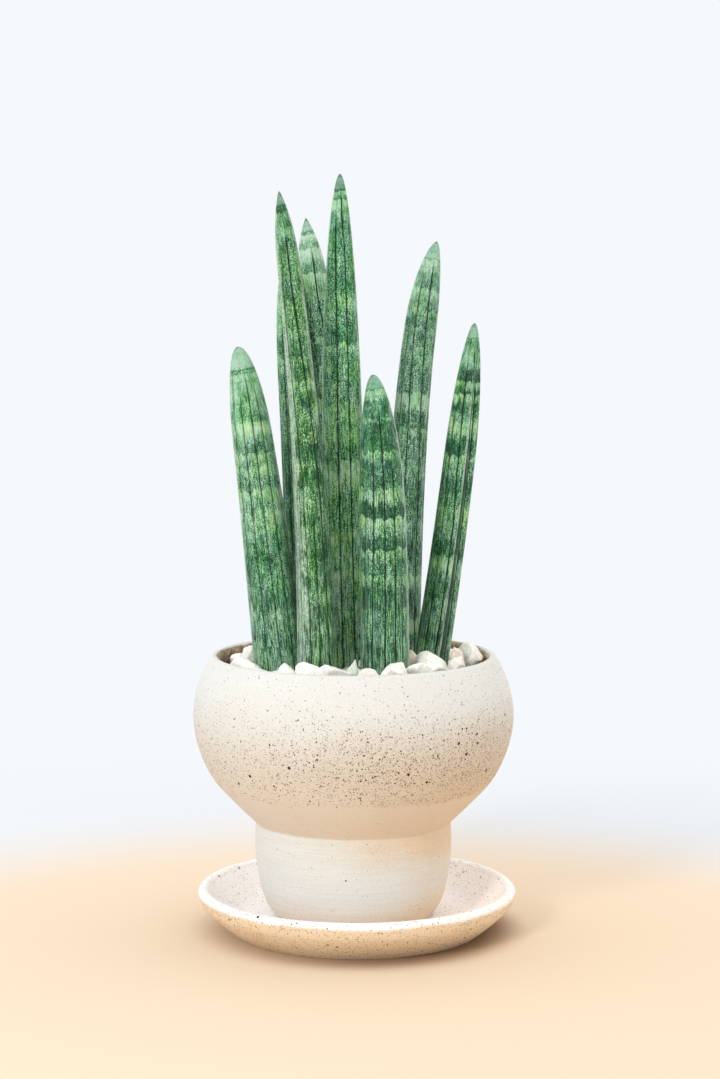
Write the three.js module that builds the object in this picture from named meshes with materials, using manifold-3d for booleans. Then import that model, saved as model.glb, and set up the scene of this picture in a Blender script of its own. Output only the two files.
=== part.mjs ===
// Potted sansevieria stuckyi: eight grooved spears in a round stoneware pot that stands on its saucer.
// Millimetres, +Z up, the front faces -Y. The origin is the centre of the saucer's underside.

import * as THREE from 'three';
import { mergeVertices } from 'three/addons/utils/BufferGeometryUtils.js';
import Module from 'manifold-3d';

const wasm = await Module();
wasm.setup();

// Driving dimensions of the stoneware
const CLEARANCE = 0.3;
const TURNED_SIDES = 36;
const SAUCER_BASE_RADIUS = 72.5;
const SAUCER_RIM_RADIUS = 92.4;
const SAUCER_RIM_THICKNESS = 7;
const SAUCER_RIM_CENTRE = 21.5;
const SAUCER_RIM_TURN = THREE.MathUtils.degToRad(155);
const SAUCER_FLOOR = 8;
const POT_SHIFT = -2.1;
const POT_WALL = 5.6;
const POT_FLOOR = 7.5;
const FOOT_RADIUS = 45;
const FOOT_RING_WIDTH = 10;
const FOOT_RING_HEIGHT = 2.5;
const NECK_RADIUS = 56.7;
const NECK_HEIGHT = 64;
const BOWL_RADIUS = 92.5;
const BOWL_HEIGHT = 122;
const MOUTH_RADIUS = 82.7;
const MOUTH_HEIGHT = 159.6;
const DRAIN_RADIUS = 6;

// Driving dimensions of the filling
const SOIL_TOP = 148;
const BED_CROWN = 156;
const BED_EDGE = 150.5;
const BED_ROUNDNESS = 4;
const BED_STEPS = 5;
const ROOM_ABOVE_MOUTH = 20;

// The stones of the spiral: how many, how far out, their half length, breadth and thickness as shares of
// it, how they lean, how far they stand out of the bed, and how close they may come to a leaf or a stone
const SPIRAL_SEED = 41;
const SPIRAL_STONES = 96;
const SPIRAL_RADIUS = 72;
const SPIRAL_JITTER = 1.4;
const GOLDEN_ANGLE = Math.PI * (3 - Math.sqrt(5));
const STONE_HALF_LENGTH = [5.2, 7.8];
const STONE_BREADTH = [0.74, 0.98];
const STONE_THICKNESS = [0.62, 0.84];
const STONE_LEAN = 0.35;
const STONE_LIFT = [0.1, 0.5];
const LEAF_SPACING = 0.5;
const STONE_SPACING = 0.62;
const FACET_SEED = 7;
const FACET_SWELL = [0.9, 1.12];

// Driving dimensions of the leaves, and of the holes that they stand in
const LEAF_ROOT_HEIGHT = 150;
const BURIED_DEPTH = 42;
const BURIED_TAPER = 0.88;
const LEAF_STATIONS = 12;
const TIP_CROWDING = 2.2;
const POINTS_PER_GROOVE = 3;
const GROOVE_DEPTH = 0.7;
const GROOVE_FADE = 30;
const CHANNEL_HALF_WIDTH = THREE.MathUtils.degToRad(24);
const HOLE_SIDES = 16;
const HOLE_CLEARANCE = 0.45;
const HOLE_REACH = 0.08;
const HOLE_POINT = 0.09;
const LEAF_FOOT = 0.03;

// Each leaf: where it leaves the soil, where its tip is, how far and how high up it bows, its radius near
// the tip and at the soil, the length and bluntness of its taper, its grooves, and the angle and depth of
// the channel along it.
const LEAVES = [
  {
    name: 'leaf_left', root: [-40.3, -19], tip: [-64.5, -30, 339.2], bow: [2.9, 0], bowAt: 0.85,
    tipRadius: 9.7, rootRadius: 16, taper: 49, bluntness: 0.47,
    grooves: 12, channel: 40, channelDepth: 0.8,
  },
  {
    name: 'leaf_tall_left', root: [-20.2, -40], tip: [-40.7, -46, 425], bow: [8.3, 0], bowAt: 0.5,
    tipRadius: 5.6, rootRadius: 11.5, taper: 38, bluntness: 0.75,
    grooves: 10, channel: 205, channelDepth: 0.8,
  },
  {
    name: 'leaf_behind', root: [-27.7, 13], tip: [-38.4, 24, 389], bow: [3.2, 0], bowAt: 0.48,
    tipRadius: 9.3, rootRadius: 11.1, taper: 66, bluntness: 0.48,
    grooves: 10, channel: 300, channelDepth: 0.8,
  },
  {
    name: 'leaf_back', root: [-1.1, 27], tip: [-27.7, 36, 412], bow: [2.4, 0], bowAt: 0.49,
    tipRadius: 8.6, rootRadius: 10.4, taper: 40, bluntness: 0.84,
    grooves: 10, channel: 250, channelDepth: 0.8,
  },
  {
    name: 'leaf_tallest', root: [-3, -10], tip: [-7.4, -12, 435.8], bow: [-1.9, 0], bowAt: 0.6,
    tipRadius: 11.6, rootRadius: 12.3, taper: 180, bluntness: 0.54,
    grooves: 12, channel: 100, channelDepth: 0.8,
  },
  {
    name: 'leaf_front', root: [17.9, -36], tip: [11, -44, 324.2], bow: [4.9, 0], bowAt: 0.76,
    tipRadius: 12.2, rootRadius: 14.2, taper: 81, bluntness: 0.51,
    grooves: 12, channel: 120, channelDepth: 0.8,
  },
  {
    name: 'leaf_right', root: [26.8, 22], tip: [48.7, 36, 398.5], bow: [-12, 0], bowAt: 0.76,
    tipRadius: 8.8, rootRadius: 12.4, taper: 50, bluntness: 0.63,
    grooves: 10, channel: 215, channelDepth: 0.8,
  },
  {
    name: 'leaf_far_right', root: [43.8, 2], tip: [69.5, 6, 351.7], bow: [3.3, 0], bowAt: 0.45,
    tipRadius: 8.6, rootRadius: 10.3, taper: 79, bluntness: 0.56,
    grooves: 10, channel: 316, channelDepth: 2.4,
  },
];

// The stones that show above the rim: centre, half sizes along, across and up, turn in degrees, top height.
const SHOWN_STONES = [
  { at: [-60, -33], half: [13, 7.5, 7], turn: -55, top: 164 },
  { at: [-65, -13], half: [5, 4.5, 5], turn: 20, top: 162 },
  { at: [-60.5, -1], half: [5.4, 4.6, 7], turn: 70, top: 165.5 },
  { at: [-36.3, -60.5], half: [6.4, 5.8, 7], turn: 15, top: 164 },
  { at: [-24, -62], half: [8.2, 6.6, 7.5], turn: -5, top: 165 },
  { at: [-10.2, -64], half: [7.6, 6.6, 6.5], turn: 10, top: 163.6 },
  { at: [-1, -57], half: [4.2, 3.6, 7], turn: 0, top: 166.8 },
  { at: [8.3, -66], half: [6.8, 5.8, 4.8], turn: 5, top: 162.2 },
  { at: [21.5, -65.5], half: [7.4, 7, 6.6], turn: -20, top: 164.8 },
  { at: [34.5, -20.5], half: [6.6, 6.6, 8.8], turn: 30, top: 166.6 },
  { at: [44.5, -31], half: [9.6, 8.4, 8.6], turn: -25, top: 167 },
  { at: [45.5, -50.5], half: [9.4, 7.2, 6.6], turn: 35, top: 164.2 },
  { at: [59.5, -9], half: [4, 3.6, 6.4], turn: 0, top: 166.4 },
  { at: [67.5, 3.5], half: [9, 8, 8], turn: 70, top: 167.6 },
  { at: [58, -27], half: [5, 4.6, 5.4], turn: 40, top: 163.4 },
];

// One finish for each material
const STONEWARE = { color: 0xe6dccb, roughness: 0.75, metalness: 0 };
const SOIL = { color: 0x4a3a2c, roughness: 0.95, metalness: 0 };
const PEBBLE = { color: 0xe4dfd2, roughness: 0.7, metalness: 0 };
const LEAF = { color: 0x4c8a5a, roughness: 0.45, metalness: 0 };

// The same draws in the same order on every run
function seededDraws(seed) {
  let state = seed;
  return (low, high) => {
    state = (state * 1664525 + 1013904223) % 4294967296;
    return low + (high - low) * (state / 4294967296);
  };
}

function namedMesh(name, geometry, finish) {
  const mesh = new THREE.Mesh(geometry, new THREE.MeshStandardMaterial(finish));
  mesh.name = name;
  return mesh;
}

// Solids for joining and cutting

function solidFrom(geometry) {
  const bare = new THREE.BufferGeometry();
  bare.setAttribute('position', geometry.getAttribute('position').clone());
  if (geometry.index) {
    bare.setIndex(geometry.index.clone());
  }
  const merged = mergeVertices(bare, 1e-3);
  const mesh = new wasm.Mesh({
    numProp: 3,
    vertProperties: new Float32Array(merged.attributes.position.array),
    triVerts: new Uint32Array(merged.index.array),
  });
  return new wasm.Manifold(mesh);
}

function geometryFrom(solid) {
  const mesh = solid.getMesh();
  const geometry = new THREE.BufferGeometry();
  geometry.setAttribute('position', new THREE.BufferAttribute(mesh.vertProperties, 3));
  geometry.setIndex(new THREE.BufferAttribute(mesh.triVerts, 1));
  geometry.computeVertexNormals();
  return geometry;
}

// What is left when loose scraps are dropped
function largestBody(solid) {
  return solid.decompose().reduce((largest, body) => (body.volume() > largest.volume() ? body : largest));
}

// Turned pieces, drawn as points of radius and height

function smooth(points, steps) {
  const knots = points.map(([radius, height]) => new THREE.Vector2(radius, height));
  return new THREE.SplineCurve(knots).getPoints(steps);
}

function arc(centre, radius, from, to, steps) {
  return new THREE.EllipseCurve(centre.x, centre.y, radius, radius, from, to).getPoints(steps);
}

function turned(outline) {
  return new THREE.LatheGeometry(outline, TURNED_SIDES).rotateX(Math.PI / 2);
}

// The line that runs beside an outline, inside the wall by the given distance
function inside(outline, distance) {
  return outline.map((point, i) => {
    const before = outline[Math.max(i - 1, 0)];
    const after = outline[Math.min(i + 1, outline.length - 1)];
    const along = after.clone().sub(before).normalize();
    return new THREE.Vector2(point.x - along.y * distance, point.y + along.x * distance);
  });
}

// The stretch of a rising outline between two heights
function between(outline, low, high) {
  const at = (height) => {
    const i = outline.findIndex((point) => point.y >= height);
    const [a, b] = [outline[i - 1], outline[i]];
    return a.clone().lerp(b, (height - a.y) / (b.y - a.y));
  };
  const middle = outline.filter((point) => point.y > low && point.y < high);
  return [at(low), ...middle, at(high)];
}

const POT_BASE = SAUCER_FLOOR + CLEARANCE;
const POT_INSIDE_FLOOR = POT_BASE + POT_FLOOR;

const footOutline = smooth([
  [FOOT_RADIUS, POT_BASE],
  [51.2, 17],
  [54.9, 30],
  [57, 47],
  [NECK_RADIUS, NECK_HEIGHT],
], 5);

const bowlOutline = smooth([
  [NECK_RADIUS, NECK_HEIGHT],
  [68.8, 76],
  [81.3, 90],
  [89.1, 106],
  [BOWL_RADIUS, BOWL_HEIGHT],
  [91.6, 137],
  [87.2, 151],
  [MOUTH_RADIUS, MOUTH_HEIGHT],
], 10);

const potOutside = [...footOutline, ...bowlOutline.slice(1)];
const potInside = inside(potOutside, POT_WALL);
const fillingOutside = inside(potOutside, POT_WALL + CLEARANCE);

function saucerGeometry() {
  const rim = new THREE.Vector2(SAUCER_RIM_RADIUS - SAUCER_RIM_THICKNESS / 2, SAUCER_RIM_CENTRE);
  const outside = smooth([
    [SAUCER_BASE_RADIUS, 0],
    [78.2, 4.5],
    [84.6, 10],
    [90, 15.6],
    [SAUCER_RIM_RADIUS, SAUCER_RIM_CENTRE],
  ], 6);
  const roundRim = arc(rim, SAUCER_RIM_THICKNESS / 2, 0, SAUCER_RIM_TURN, 5);
  const basin = smooth([
    [roundRim.at(-1).x, roundRim.at(-1).y],
    [77.5, 15.5],
    [68, 9.6],
    [56, SAUCER_FLOOR],
  ], 5);
  return turned([
    new THREE.Vector2(0, 0),
    ...outside,
    ...roundRim.slice(1),
    ...basin.slice(1),
    new THREE.Vector2(0, SAUCER_FLOOR),
  ]);
}

function potGeometry() {
  const outerLip = potOutside.at(-1);
  const innerLip = potInside.at(-1);
  const lipCentre = outerLip.clone().lerp(innerLip, 0.5);
  const lipStart = Math.atan2(outerLip.y - lipCentre.y, outerLip.x - lipCentre.x);
  const lip = arc(lipCentre, POT_WALL / 2, lipStart, lipStart + Math.PI, 4);
  const innerWall = between(potInside, POT_INSIDE_FLOOR, innerLip.y).reverse();
  const ringInner = FOOT_RADIUS - FOOT_RING_WIDTH;
  const outline = [
    new THREE.Vector2(DRAIN_RADIUS, POT_BASE + FOOT_RING_HEIGHT),
    new THREE.Vector2(ringInner, POT_BASE + FOOT_RING_HEIGHT),
    new THREE.Vector2(ringInner, POT_BASE),
    ...potOutside,
    ...lip.slice(1, -1),
    ...innerWall,
    new THREE.Vector2(DRAIN_RADIUS, POT_INSIDE_FLOOR),
  ];
  return turned([...outline, outline[0].clone()]);
}

// Leaves

function leafLine(leaf) {
  const root = new THREE.Vector3(leaf.root[0], leaf.root[1], LEAF_ROOT_HEIGHT);
  const tip = new THREE.Vector3(...leaf.tip);
  const bend = root.clone().lerp(tip, leaf.bowAt).add(new THREE.Vector3(...leaf.bow, 0));
  return new THREE.QuadraticBezierCurve3(root, bend, tip);
}

// The radius at a distance down from the tip, on a leaf of the given length
function leafRadius(leaf, down, length) {
  const plain = leaf.tipRadius + (leaf.rootRadius - leaf.tipRadius) * Math.min(down / length, 1);
  const toTaper = 1 - Math.min(down / leaf.taper, 1);
  return plain * Math.pow(1 - toTaper * toTaper, leaf.bluntness);
}

// How far an angle lies from the nearest multiple of a period
function offMultiple(angle, period) {
  return Math.abs(THREE.MathUtils.euclideanModulo(angle + period / 2, period) - period / 2);
}

// How far the surface lies below the plain round leaf, at an angle round it
function hollowDepth(leaf, angle, down) {
  const period = (2 * Math.PI) / leaf.grooves;
  const fromChannel = offMultiple(angle - THREE.MathUtils.degToRad(leaf.channel), 2 * Math.PI);
  const fromGroove = offMultiple(fromChannel, period);
  const groove = GROOVE_DEPTH * Math.max(1 - (fromGroove * POINTS_PER_GROOVE) / period, 0);
  const acrossChannel = Math.min(fromChannel / CHANNEL_HALF_WIDTH, 1);
  const channel = leaf.channelDepth * Math.cos((acrossChannel * Math.PI) / 2);
  return (groove + channel) * Math.min(down / GROOVE_FADE, 1);
}

// A tube of rings along a list of stations, each with its centre, direction and radius by angle
function spear(stations, sides, firstAngle, apex) {
  const vertices = [];
  const faces = [];
  const bottom = stations[0].centre;
  vertices.push(bottom.x, bottom.y, bottom.z);
  for (const station of stations) {
    const across = new THREE.Vector3(1, 0, 0).projectOnPlane(station.along).normalize();
    const deep = station.along.clone().cross(across);
    for (let side = 0; side < sides; side += 1) {
      const angle = firstAngle + (2 * Math.PI * side) / sides;
      const radius = station.radius(angle);
      const point = station.centre.clone()
        .addScaledVector(across, radius * Math.cos(angle))
        .addScaledVector(deep, radius * Math.sin(angle));
      vertices.push(point.x, point.y, point.z);
    }
  }
  const last = vertices.length / 3;
  vertices.push(apex.x, apex.y, apex.z);
  for (let side = 0; side < sides; side += 1) {
    const next = (side + 1) % sides;
    faces.push(0, 1 + next, 1 + side);
    for (let ring = 0; ring + 1 < stations.length; ring += 1) {
      const low = 1 + ring * sides;
      const high = low + sides;
      faces.push(low + side, low + next, high + next);
      faces.push(low + side, high + next, high + side);
    }
    const top = 1 + (stations.length - 1) * sides;
    faces.push(top + side, top + next, last);
  }
  const geometry = new THREE.BufferGeometry();
  geometry.setAttribute('position', new THREE.Float32BufferAttribute(vertices, 3));
  geometry.setIndex(faces);
  geometry.computeVertexNormals();
  return geometry;
}

function leafGeometry(leaf) {
  const line = leafLine(leaf);
  const length = line.getLength();
  const rootDirection = line.getTangentAt(0);
  const stations = [{
    centre: line.getPointAt(0).addScaledVector(rootDirection, -BURIED_DEPTH),
    along: rootDirection,
    radius: () => leaf.rootRadius * BURIED_TAPER,
  }];
  for (let i = LEAF_STATIONS; i > 0; i -= 1) {
    const down = length * Math.pow(i / LEAF_STATIONS, TIP_CROWDING);
    stations.push({
      centre: line.getPointAt(1 - down / length),
      along: line.getTangentAt(1 - down / length),
      radius: (angle) => leafRadius(leaf, down, length) - hollowDepth(leaf, angle, down),
    });
  }
  const firstAngle = THREE.MathUtils.degToRad(leaf.channel);
  return spear(stations, leaf.grooves * POINTS_PER_GROOVE, firstAngle, line.getPointAt(1));
}

// The plain round hole that a leaf stands in, through the soil and the stones round it
function leafHole(leaf) {
  const line = leafLine(leaf);
  const length = line.getLength();
  const root = line.getPointAt(0);
  const rootDirection = line.getTangentAt(0);
  const bottom = root.clone().addScaledVector(rootDirection, -BURIED_DEPTH - HOLE_CLEARANCE);
  const topRadius = leafRadius(leaf, length * (1 - HOLE_REACH), length);
  const widen = 1 / Math.cos(Math.PI / HOLE_SIDES);
  const ring = (centre, along, leafSize) => ({
    centre,
    along,
    radius: () => (leafSize + HOLE_CLEARANCE) * widen,
  });
  const rings = [
    ring(bottom, rootDirection, leaf.rootRadius * BURIED_TAPER),
    ring(root, rootDirection, leaf.rootRadius),
    ring(line.getPointAt(HOLE_REACH), line.getTangentAt(HOLE_REACH), topRadius),
  ];
  return solidFrom(spear(rings, HOLE_SIDES, 0, line.getPointAt(HOLE_POINT)));
}

const leafHoles = LEAVES.map(leafHole);

function cutLeafHoles(solid) {
  return leafHoles.reduce((rest, hole) => rest.subtract(hole), solid);
}

// The middle and the radius of each leaf where it leaves the stones
const leafFeet = LEAVES.map((leaf) => ({
  centre: leafLine(leaf).getPointAt(LEAF_FOOT),
  radius: leaf.rootRadius,
}));

function soilGeometry() {
  const filling = between(fillingOutside, POT_INSIDE_FLOOR + CLEARANCE, SOIL_TOP);
  const solid = solidFrom(turned([
    new THREE.Vector2(0, filling[0].y),
    ...filling,
    new THREE.Vector2(0, SOIL_TOP),
  ]));
  return geometryFrom(cutLeafHoles(solid));
}

// Pebbles

// The top of the gravel layer: it falls away towards the wall
function bedHeight(radius) {
  const outer = fillingOutside.at(-1).x;
  return BED_CROWN - (BED_CROWN - BED_EDGE) * Math.pow(radius / outer, BED_ROUNDNESS);
}

function shownStones() {
  return SHOWN_STONES.map((stone) => ({
    centre: new THREE.Vector3(stone.at[0], stone.at[1], stone.top - stone.half[2]),
    half: stone.half,
    turn: THREE.MathUtils.degToRad(stone.turn),
    lean: 0,
  }));
}

// How far apart two places are, seen from above
function apart(a, b) {
  return Math.hypot(a.x - b.x, a.y - b.y);
}

// The rest of the layer follows a spiral of even spacing, and leaves out what a leaf or a shown stone fills
function spiralStones(taken) {
  const draw = seededDraws(SPIRAL_SEED);
  const stones = [];
  for (let i = 0; i < SPIRAL_STONES; i += 1) {
    const radius = SPIRAL_RADIUS * Math.sqrt((i + 0.5) / SPIRAL_STONES);
    const angle = i * GOLDEN_ANGLE;
    const x = radius * Math.cos(angle) + draw(-SPIRAL_JITTER, SPIRAL_JITTER);
    const y = radius * Math.sin(angle) + draw(-SPIRAL_JITTER, SPIRAL_JITTER);
    const long = draw(...STONE_HALF_LENGTH);
    const half = [long, long * draw(...STONE_BREADTH), long * draw(...STONE_THICKNESS)];
    const turn = draw(0, Math.PI);
    const lean = draw(-STONE_LEAN, STONE_LEAN);
    const lift = draw(...STONE_LIFT) * half[2];
    const centre = new THREE.Vector3(x, y, bedHeight(Math.hypot(x, y)) + lift);
    const overLeaf = leafFeet.some((foot) => (
      apart(centre, foot.centre) < foot.radius + LEAF_SPACING * long
    ));
    const overStone = taken.some((stone) => {
      const size = (stone.half[0] + stone.half[1]) / 2;
      return apart(centre, stone.centre) < STONE_SPACING * (long + size);
    });
    if (!overLeaf && !overStone) {
      stones.push({ centre, half, turn, lean });
    }
  }
  return stones;
}

function stoneSolid(stone, draw) {
  const facets = new THREE.IcosahedronGeometry(1).deleteAttribute('normal').deleteAttribute('uv');
  const shape = mergeVertices(facets);
  const position = shape.getAttribute('position');
  for (let i = 0; i < position.count; i += 1) {
    const swell = draw(...FACET_SWELL);
    position.setXYZ(i, position.getX(i) * swell, position.getY(i) * swell, position.getZ(i) * swell);
  }
  shape.scale(...stone.half);
  shape.rotateX(stone.lean);
  shape.rotateZ(stone.turn);
  shape.translate(stone.centre.x, stone.centre.y, stone.centre.z);
  return solidFrom(shape);
}

function pebblesGeometry() {
  const wall = between(fillingOutside, SOIL_TOP + CLEARANCE, BED_EDGE);
  const crown = [];
  for (let i = BED_STEPS - 1; i >= 0; i -= 1) {
    const radius = (wall.at(-1).x * i) / BED_STEPS;
    crown.push(new THREE.Vector2(radius, bedHeight(radius)));
  }
  const bed = solidFrom(turned([new THREE.Vector2(0, wall[0].y), ...wall, ...crown]));
  const mouth = between(fillingOutside, SOIL_TOP + CLEARANCE, fillingOutside.at(-1).y);
  const above = new THREE.Vector2(mouth.at(-1).x, MOUTH_HEIGHT + ROOM_ABOVE_MOUTH);
  const room = solidFrom(turned([
    new THREE.Vector2(0, mouth[0].y),
    ...mouth,
    above,
    new THREE.Vector2(0, above.y),
  ]));
  const shown = shownStones();
  const draw = seededDraws(FACET_SEED);
  const stones = [...shown, ...spiralStones(shown)].map((stone) => stoneSolid(stone, draw));
  const fused = stones.reduce((joined, stone) => joined.add(stone), bed);
  return geometryFrom(largestBody(cutLeafHoles(fused.intersect(room))));
}

// Assembly
const plantedPot = new THREE.Group();
plantedPot.position.x = POT_SHIFT;
plantedPot.add(namedMesh('pot', potGeometry(), STONEWARE));
plantedPot.add(namedMesh('soil', soilGeometry(), SOIL));
plantedPot.add(namedMesh('pebbles', pebblesGeometry(), PEBBLE));
for (const leaf of LEAVES) {
  plantedPot.add(namedMesh(leaf.name, leafGeometry(leaf), LEAF));
}

const part = new THREE.Group();
part.add(namedMesh('saucer', saucerGeometry(), STONEWARE));
part.add(plantedPot);

export default part;
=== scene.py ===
import math

import bpy
import numpy as np
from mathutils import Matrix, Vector, noise


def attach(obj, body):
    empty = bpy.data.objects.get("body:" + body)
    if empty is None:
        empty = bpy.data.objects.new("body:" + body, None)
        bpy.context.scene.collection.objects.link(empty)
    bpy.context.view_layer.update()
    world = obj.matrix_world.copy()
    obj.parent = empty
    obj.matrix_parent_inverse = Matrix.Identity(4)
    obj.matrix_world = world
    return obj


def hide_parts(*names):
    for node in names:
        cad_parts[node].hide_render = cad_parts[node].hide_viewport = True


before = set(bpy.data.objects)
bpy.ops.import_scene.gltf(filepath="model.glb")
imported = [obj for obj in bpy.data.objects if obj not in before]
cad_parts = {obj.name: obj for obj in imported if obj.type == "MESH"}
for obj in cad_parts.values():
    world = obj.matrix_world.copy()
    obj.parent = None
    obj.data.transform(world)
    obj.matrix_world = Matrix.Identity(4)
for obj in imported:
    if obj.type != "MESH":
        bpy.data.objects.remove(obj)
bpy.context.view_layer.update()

# Measures of the stoneware, in millimetres as in the part's source
MM = 0.001
POT_X = -2.1
POT_WALL = 5.6
POT_BASE = 8.3
POT_RECESS = 2.5
POT_FLOOR_INSIDE = 15.8
RING_INSIDE = 35
RING_OUTSIDE = 44.4
DRAIN_RADIUS = 6
FOOT_CURVE = [(45, 8.3), (51.2, 17), (54.9, 30), (57, 47), (56.7, 64)]
BOWL_CURVE = [
    (56.7, 64), (68.8, 76), (81.3, 90), (89.1, 106), (92.5, 122), (91.6, 137), (87.2, 151), (82.7, 159.6),
]
CURVE_STEPS = 12
SAUCER_CURVE = [(72.5, 0), (78.2, 4.5), (84.6, 10), (90, 15.6), (92.4, 21.5)]
SAUCER_RIM = (88.9, 21.5, 3.5, math.radians(155))
SAUCER_BASIN = [(77.5, 15.5), (68, 9.6), (56, 8)]
SAUCER_STEPS = 7
ROUND_STEPS = 12
TURN_STEPS = 168
MERGE_DISTANCE = 0.000002

# Heights where the pot's finishes change, in metres
FOOT_TOP = 0.064
BAND_TOP = 0.087
STAIN_BOTTOM = 0.14
STAIN_TOP = 0.1598

# Each leaf as in the part's source: root, tip, sideways bow and its place, radius near the tip and at the
# soil, length and bluntness of the taper, angle and depth of its channel
LEAVES = {
    "leaf_left": dict(
        root=(-40.3, -19), tip=(-64.5, -30, 339.2), bow=2.9, bow_at=0.85,
        tip_radius=9.7, root_radius=16, taper=49, bluntness=0.47, channel=40, channel_depth=0.8,
    ),
    "leaf_tall_left": dict(
        root=(-20.2, -40), tip=(-40.7, -46, 425), bow=8.3, bow_at=0.5,
        tip_radius=5.6, root_radius=11.5, taper=38, bluntness=0.75, channel=205, channel_depth=0.8,
    ),
    "leaf_behind": dict(
        root=(-27.7, 13), tip=(-38.4, 24, 389), bow=3.2, bow_at=0.48,
        tip_radius=9.3, root_radius=11.1, taper=66, bluntness=0.48, channel=300, channel_depth=0.8,
    ),
    "leaf_back": dict(
        root=(-1.1, 27), tip=(-27.7, 36, 412), bow=2.4, bow_at=0.49,
        tip_radius=8.6, root_radius=10.4, taper=40, bluntness=0.84, channel=250, channel_depth=0.8,
    ),
    "leaf_tallest": dict(
        root=(-3, -10), tip=(-7.4, -12, 435.8), bow=-1.9, bow_at=0.6,
        tip_radius=11.6, root_radius=12.3, taper=180, bluntness=0.54, channel=100, channel_depth=0.8,
    ),
    "leaf_front": dict(
        root=(17.9, -36), tip=(11, -44, 324.2), bow=4.9, bow_at=0.76,
        tip_radius=12.2, root_radius=14.2, taper=81, bluntness=0.51, channel=120, channel_depth=0.8,
    ),
    "leaf_right": dict(
        root=(26.8, 22), tip=(48.7, 36, 398.5), bow=-12, bow_at=0.76,
        tip_radius=8.8, root_radius=12.4, taper=50, bluntness=0.63, channel=215, channel_depth=0.8,
    ),
    "leaf_far_right": dict(
        root=(43.8, 2), tip=(69.5, 6, 351.7), bow=3.3, bow_at=0.45,
        tip_radius=8.6, root_radius=10.3, taper=79, bluntness=0.56, channel=316, channel_depth=2.4,
    ),
}
ROOT_HEIGHT = 150
BURIED_DEPTH = 42

# How many grooves each leaf has, and those on its near side: where the line starts, how dark it is, and its
# course as distances down from the tip and angles round the leaf (-90 faces the front)
GROOVES = {
    "leaf_left": (12, [
        (12, 0.6, [(0, -139), (100, -144), (191, -146)]),
        (24, 0.7, [(0, -109), (100, -114), (191, -116)]),
        (12, 0.8, [(0, -79), (100, -84), (191, -86)]),
        (20, 0.75, [(0, -51), (100, -55), (191, -57)]),
        (60, 0.7, [(0, -22), (100, -25), (191, -28)]),
    ]),
    "leaf_tall_left": (12, [
        (150, 0.6, [(0, -150), (60, -164), (160, -146), (276, -138)]),
        (34, 0.7, [(0, -120), (26, -120), (72, -134), (115, -125), (164, -112), (276, -104)]),
        (170, 0.8, [(0, -100), (57, -102), (100, -98), (164, -81), (276, -76)]),
        (22, 1.0, [(0, -85), (57, -85), (90, -73), (130, -56), (164, -49), (276, -46)]),
        (190, 0.6, [(0, -50), (57, -45), (130, -26), (276, -20)]),
    ]),
    "leaf_behind": (10, [
        (26, 0.9, [(0, -128), (240, -120)]),
        (20, 1.0, [(0, -96), (240, -88)]),
        (30, 0.9, [(0, -60), (240, -54)]),
    ]),
    "leaf_back": (10, [
        (60, 0.5, [(0, -118), (264, -108)]),
        (16, 1.0, [(0, -79), (48, -79), (60, -70), (264, -66)]),
        (70, 0.5, [(0, -40), (264, -30)]),
    ]),
    "leaf_tallest": (12, [
        (150, 0.5, [(0, -140), (286, -132)]),
        (20, 1.0, [(0, -115), (24, -115), (86, -103), (286, -102)]),
        (8, 1.0, [(0, -78), (24, -78), (42, -68), (286, -67)]),
        (100, 0.6, [(0, -45), (42, -34), (286, -35)]),
    ]),
    "leaf_front": (12, [
        (60, 0.7, [(0, -136), (69, -136), (117, -146), (175, -148)]),
        (36, 0.9, [(0, -112), (69, -112), (117, -120), (175, -122)]),
        (16, 1.0, [(0, -84), (69, -84), (117, -88), (175, -90)]),
        (46, 1.0, [(0, -58), (69, -58), (117, -62), (175, -64)]),
        (70, 0.8, [(0, -23), (69, -23), (117, -44), (175, -42)]),
    ]),
    "leaf_right": (10, [
        (18, 0.8, [(0, -116), (24, -116), (61, -109), (93, -102), (113, -98), (250, -90)]),
        (10, 1.0, [(0, -76), (45, -71), (86, -61), (113, -56), (140, -49), (250, -44)]),
        (90, 0.6, [(0, -36), (113, -20), (250, -8)]),
    ]),
    "leaf_far_right": (10, [
        (18, 1.0, [(0, -108), (20, -108), (57, -101), (90, -94), (116, -85), (161, -83), (203, -82)]),
        (12, 1.0, [(0, -72), (16, -72), (38, -62), (106, -59), (203, -58)]),
        (30, 1.0, [(0, -40), (203, -30)]),
    ]),
}

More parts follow.
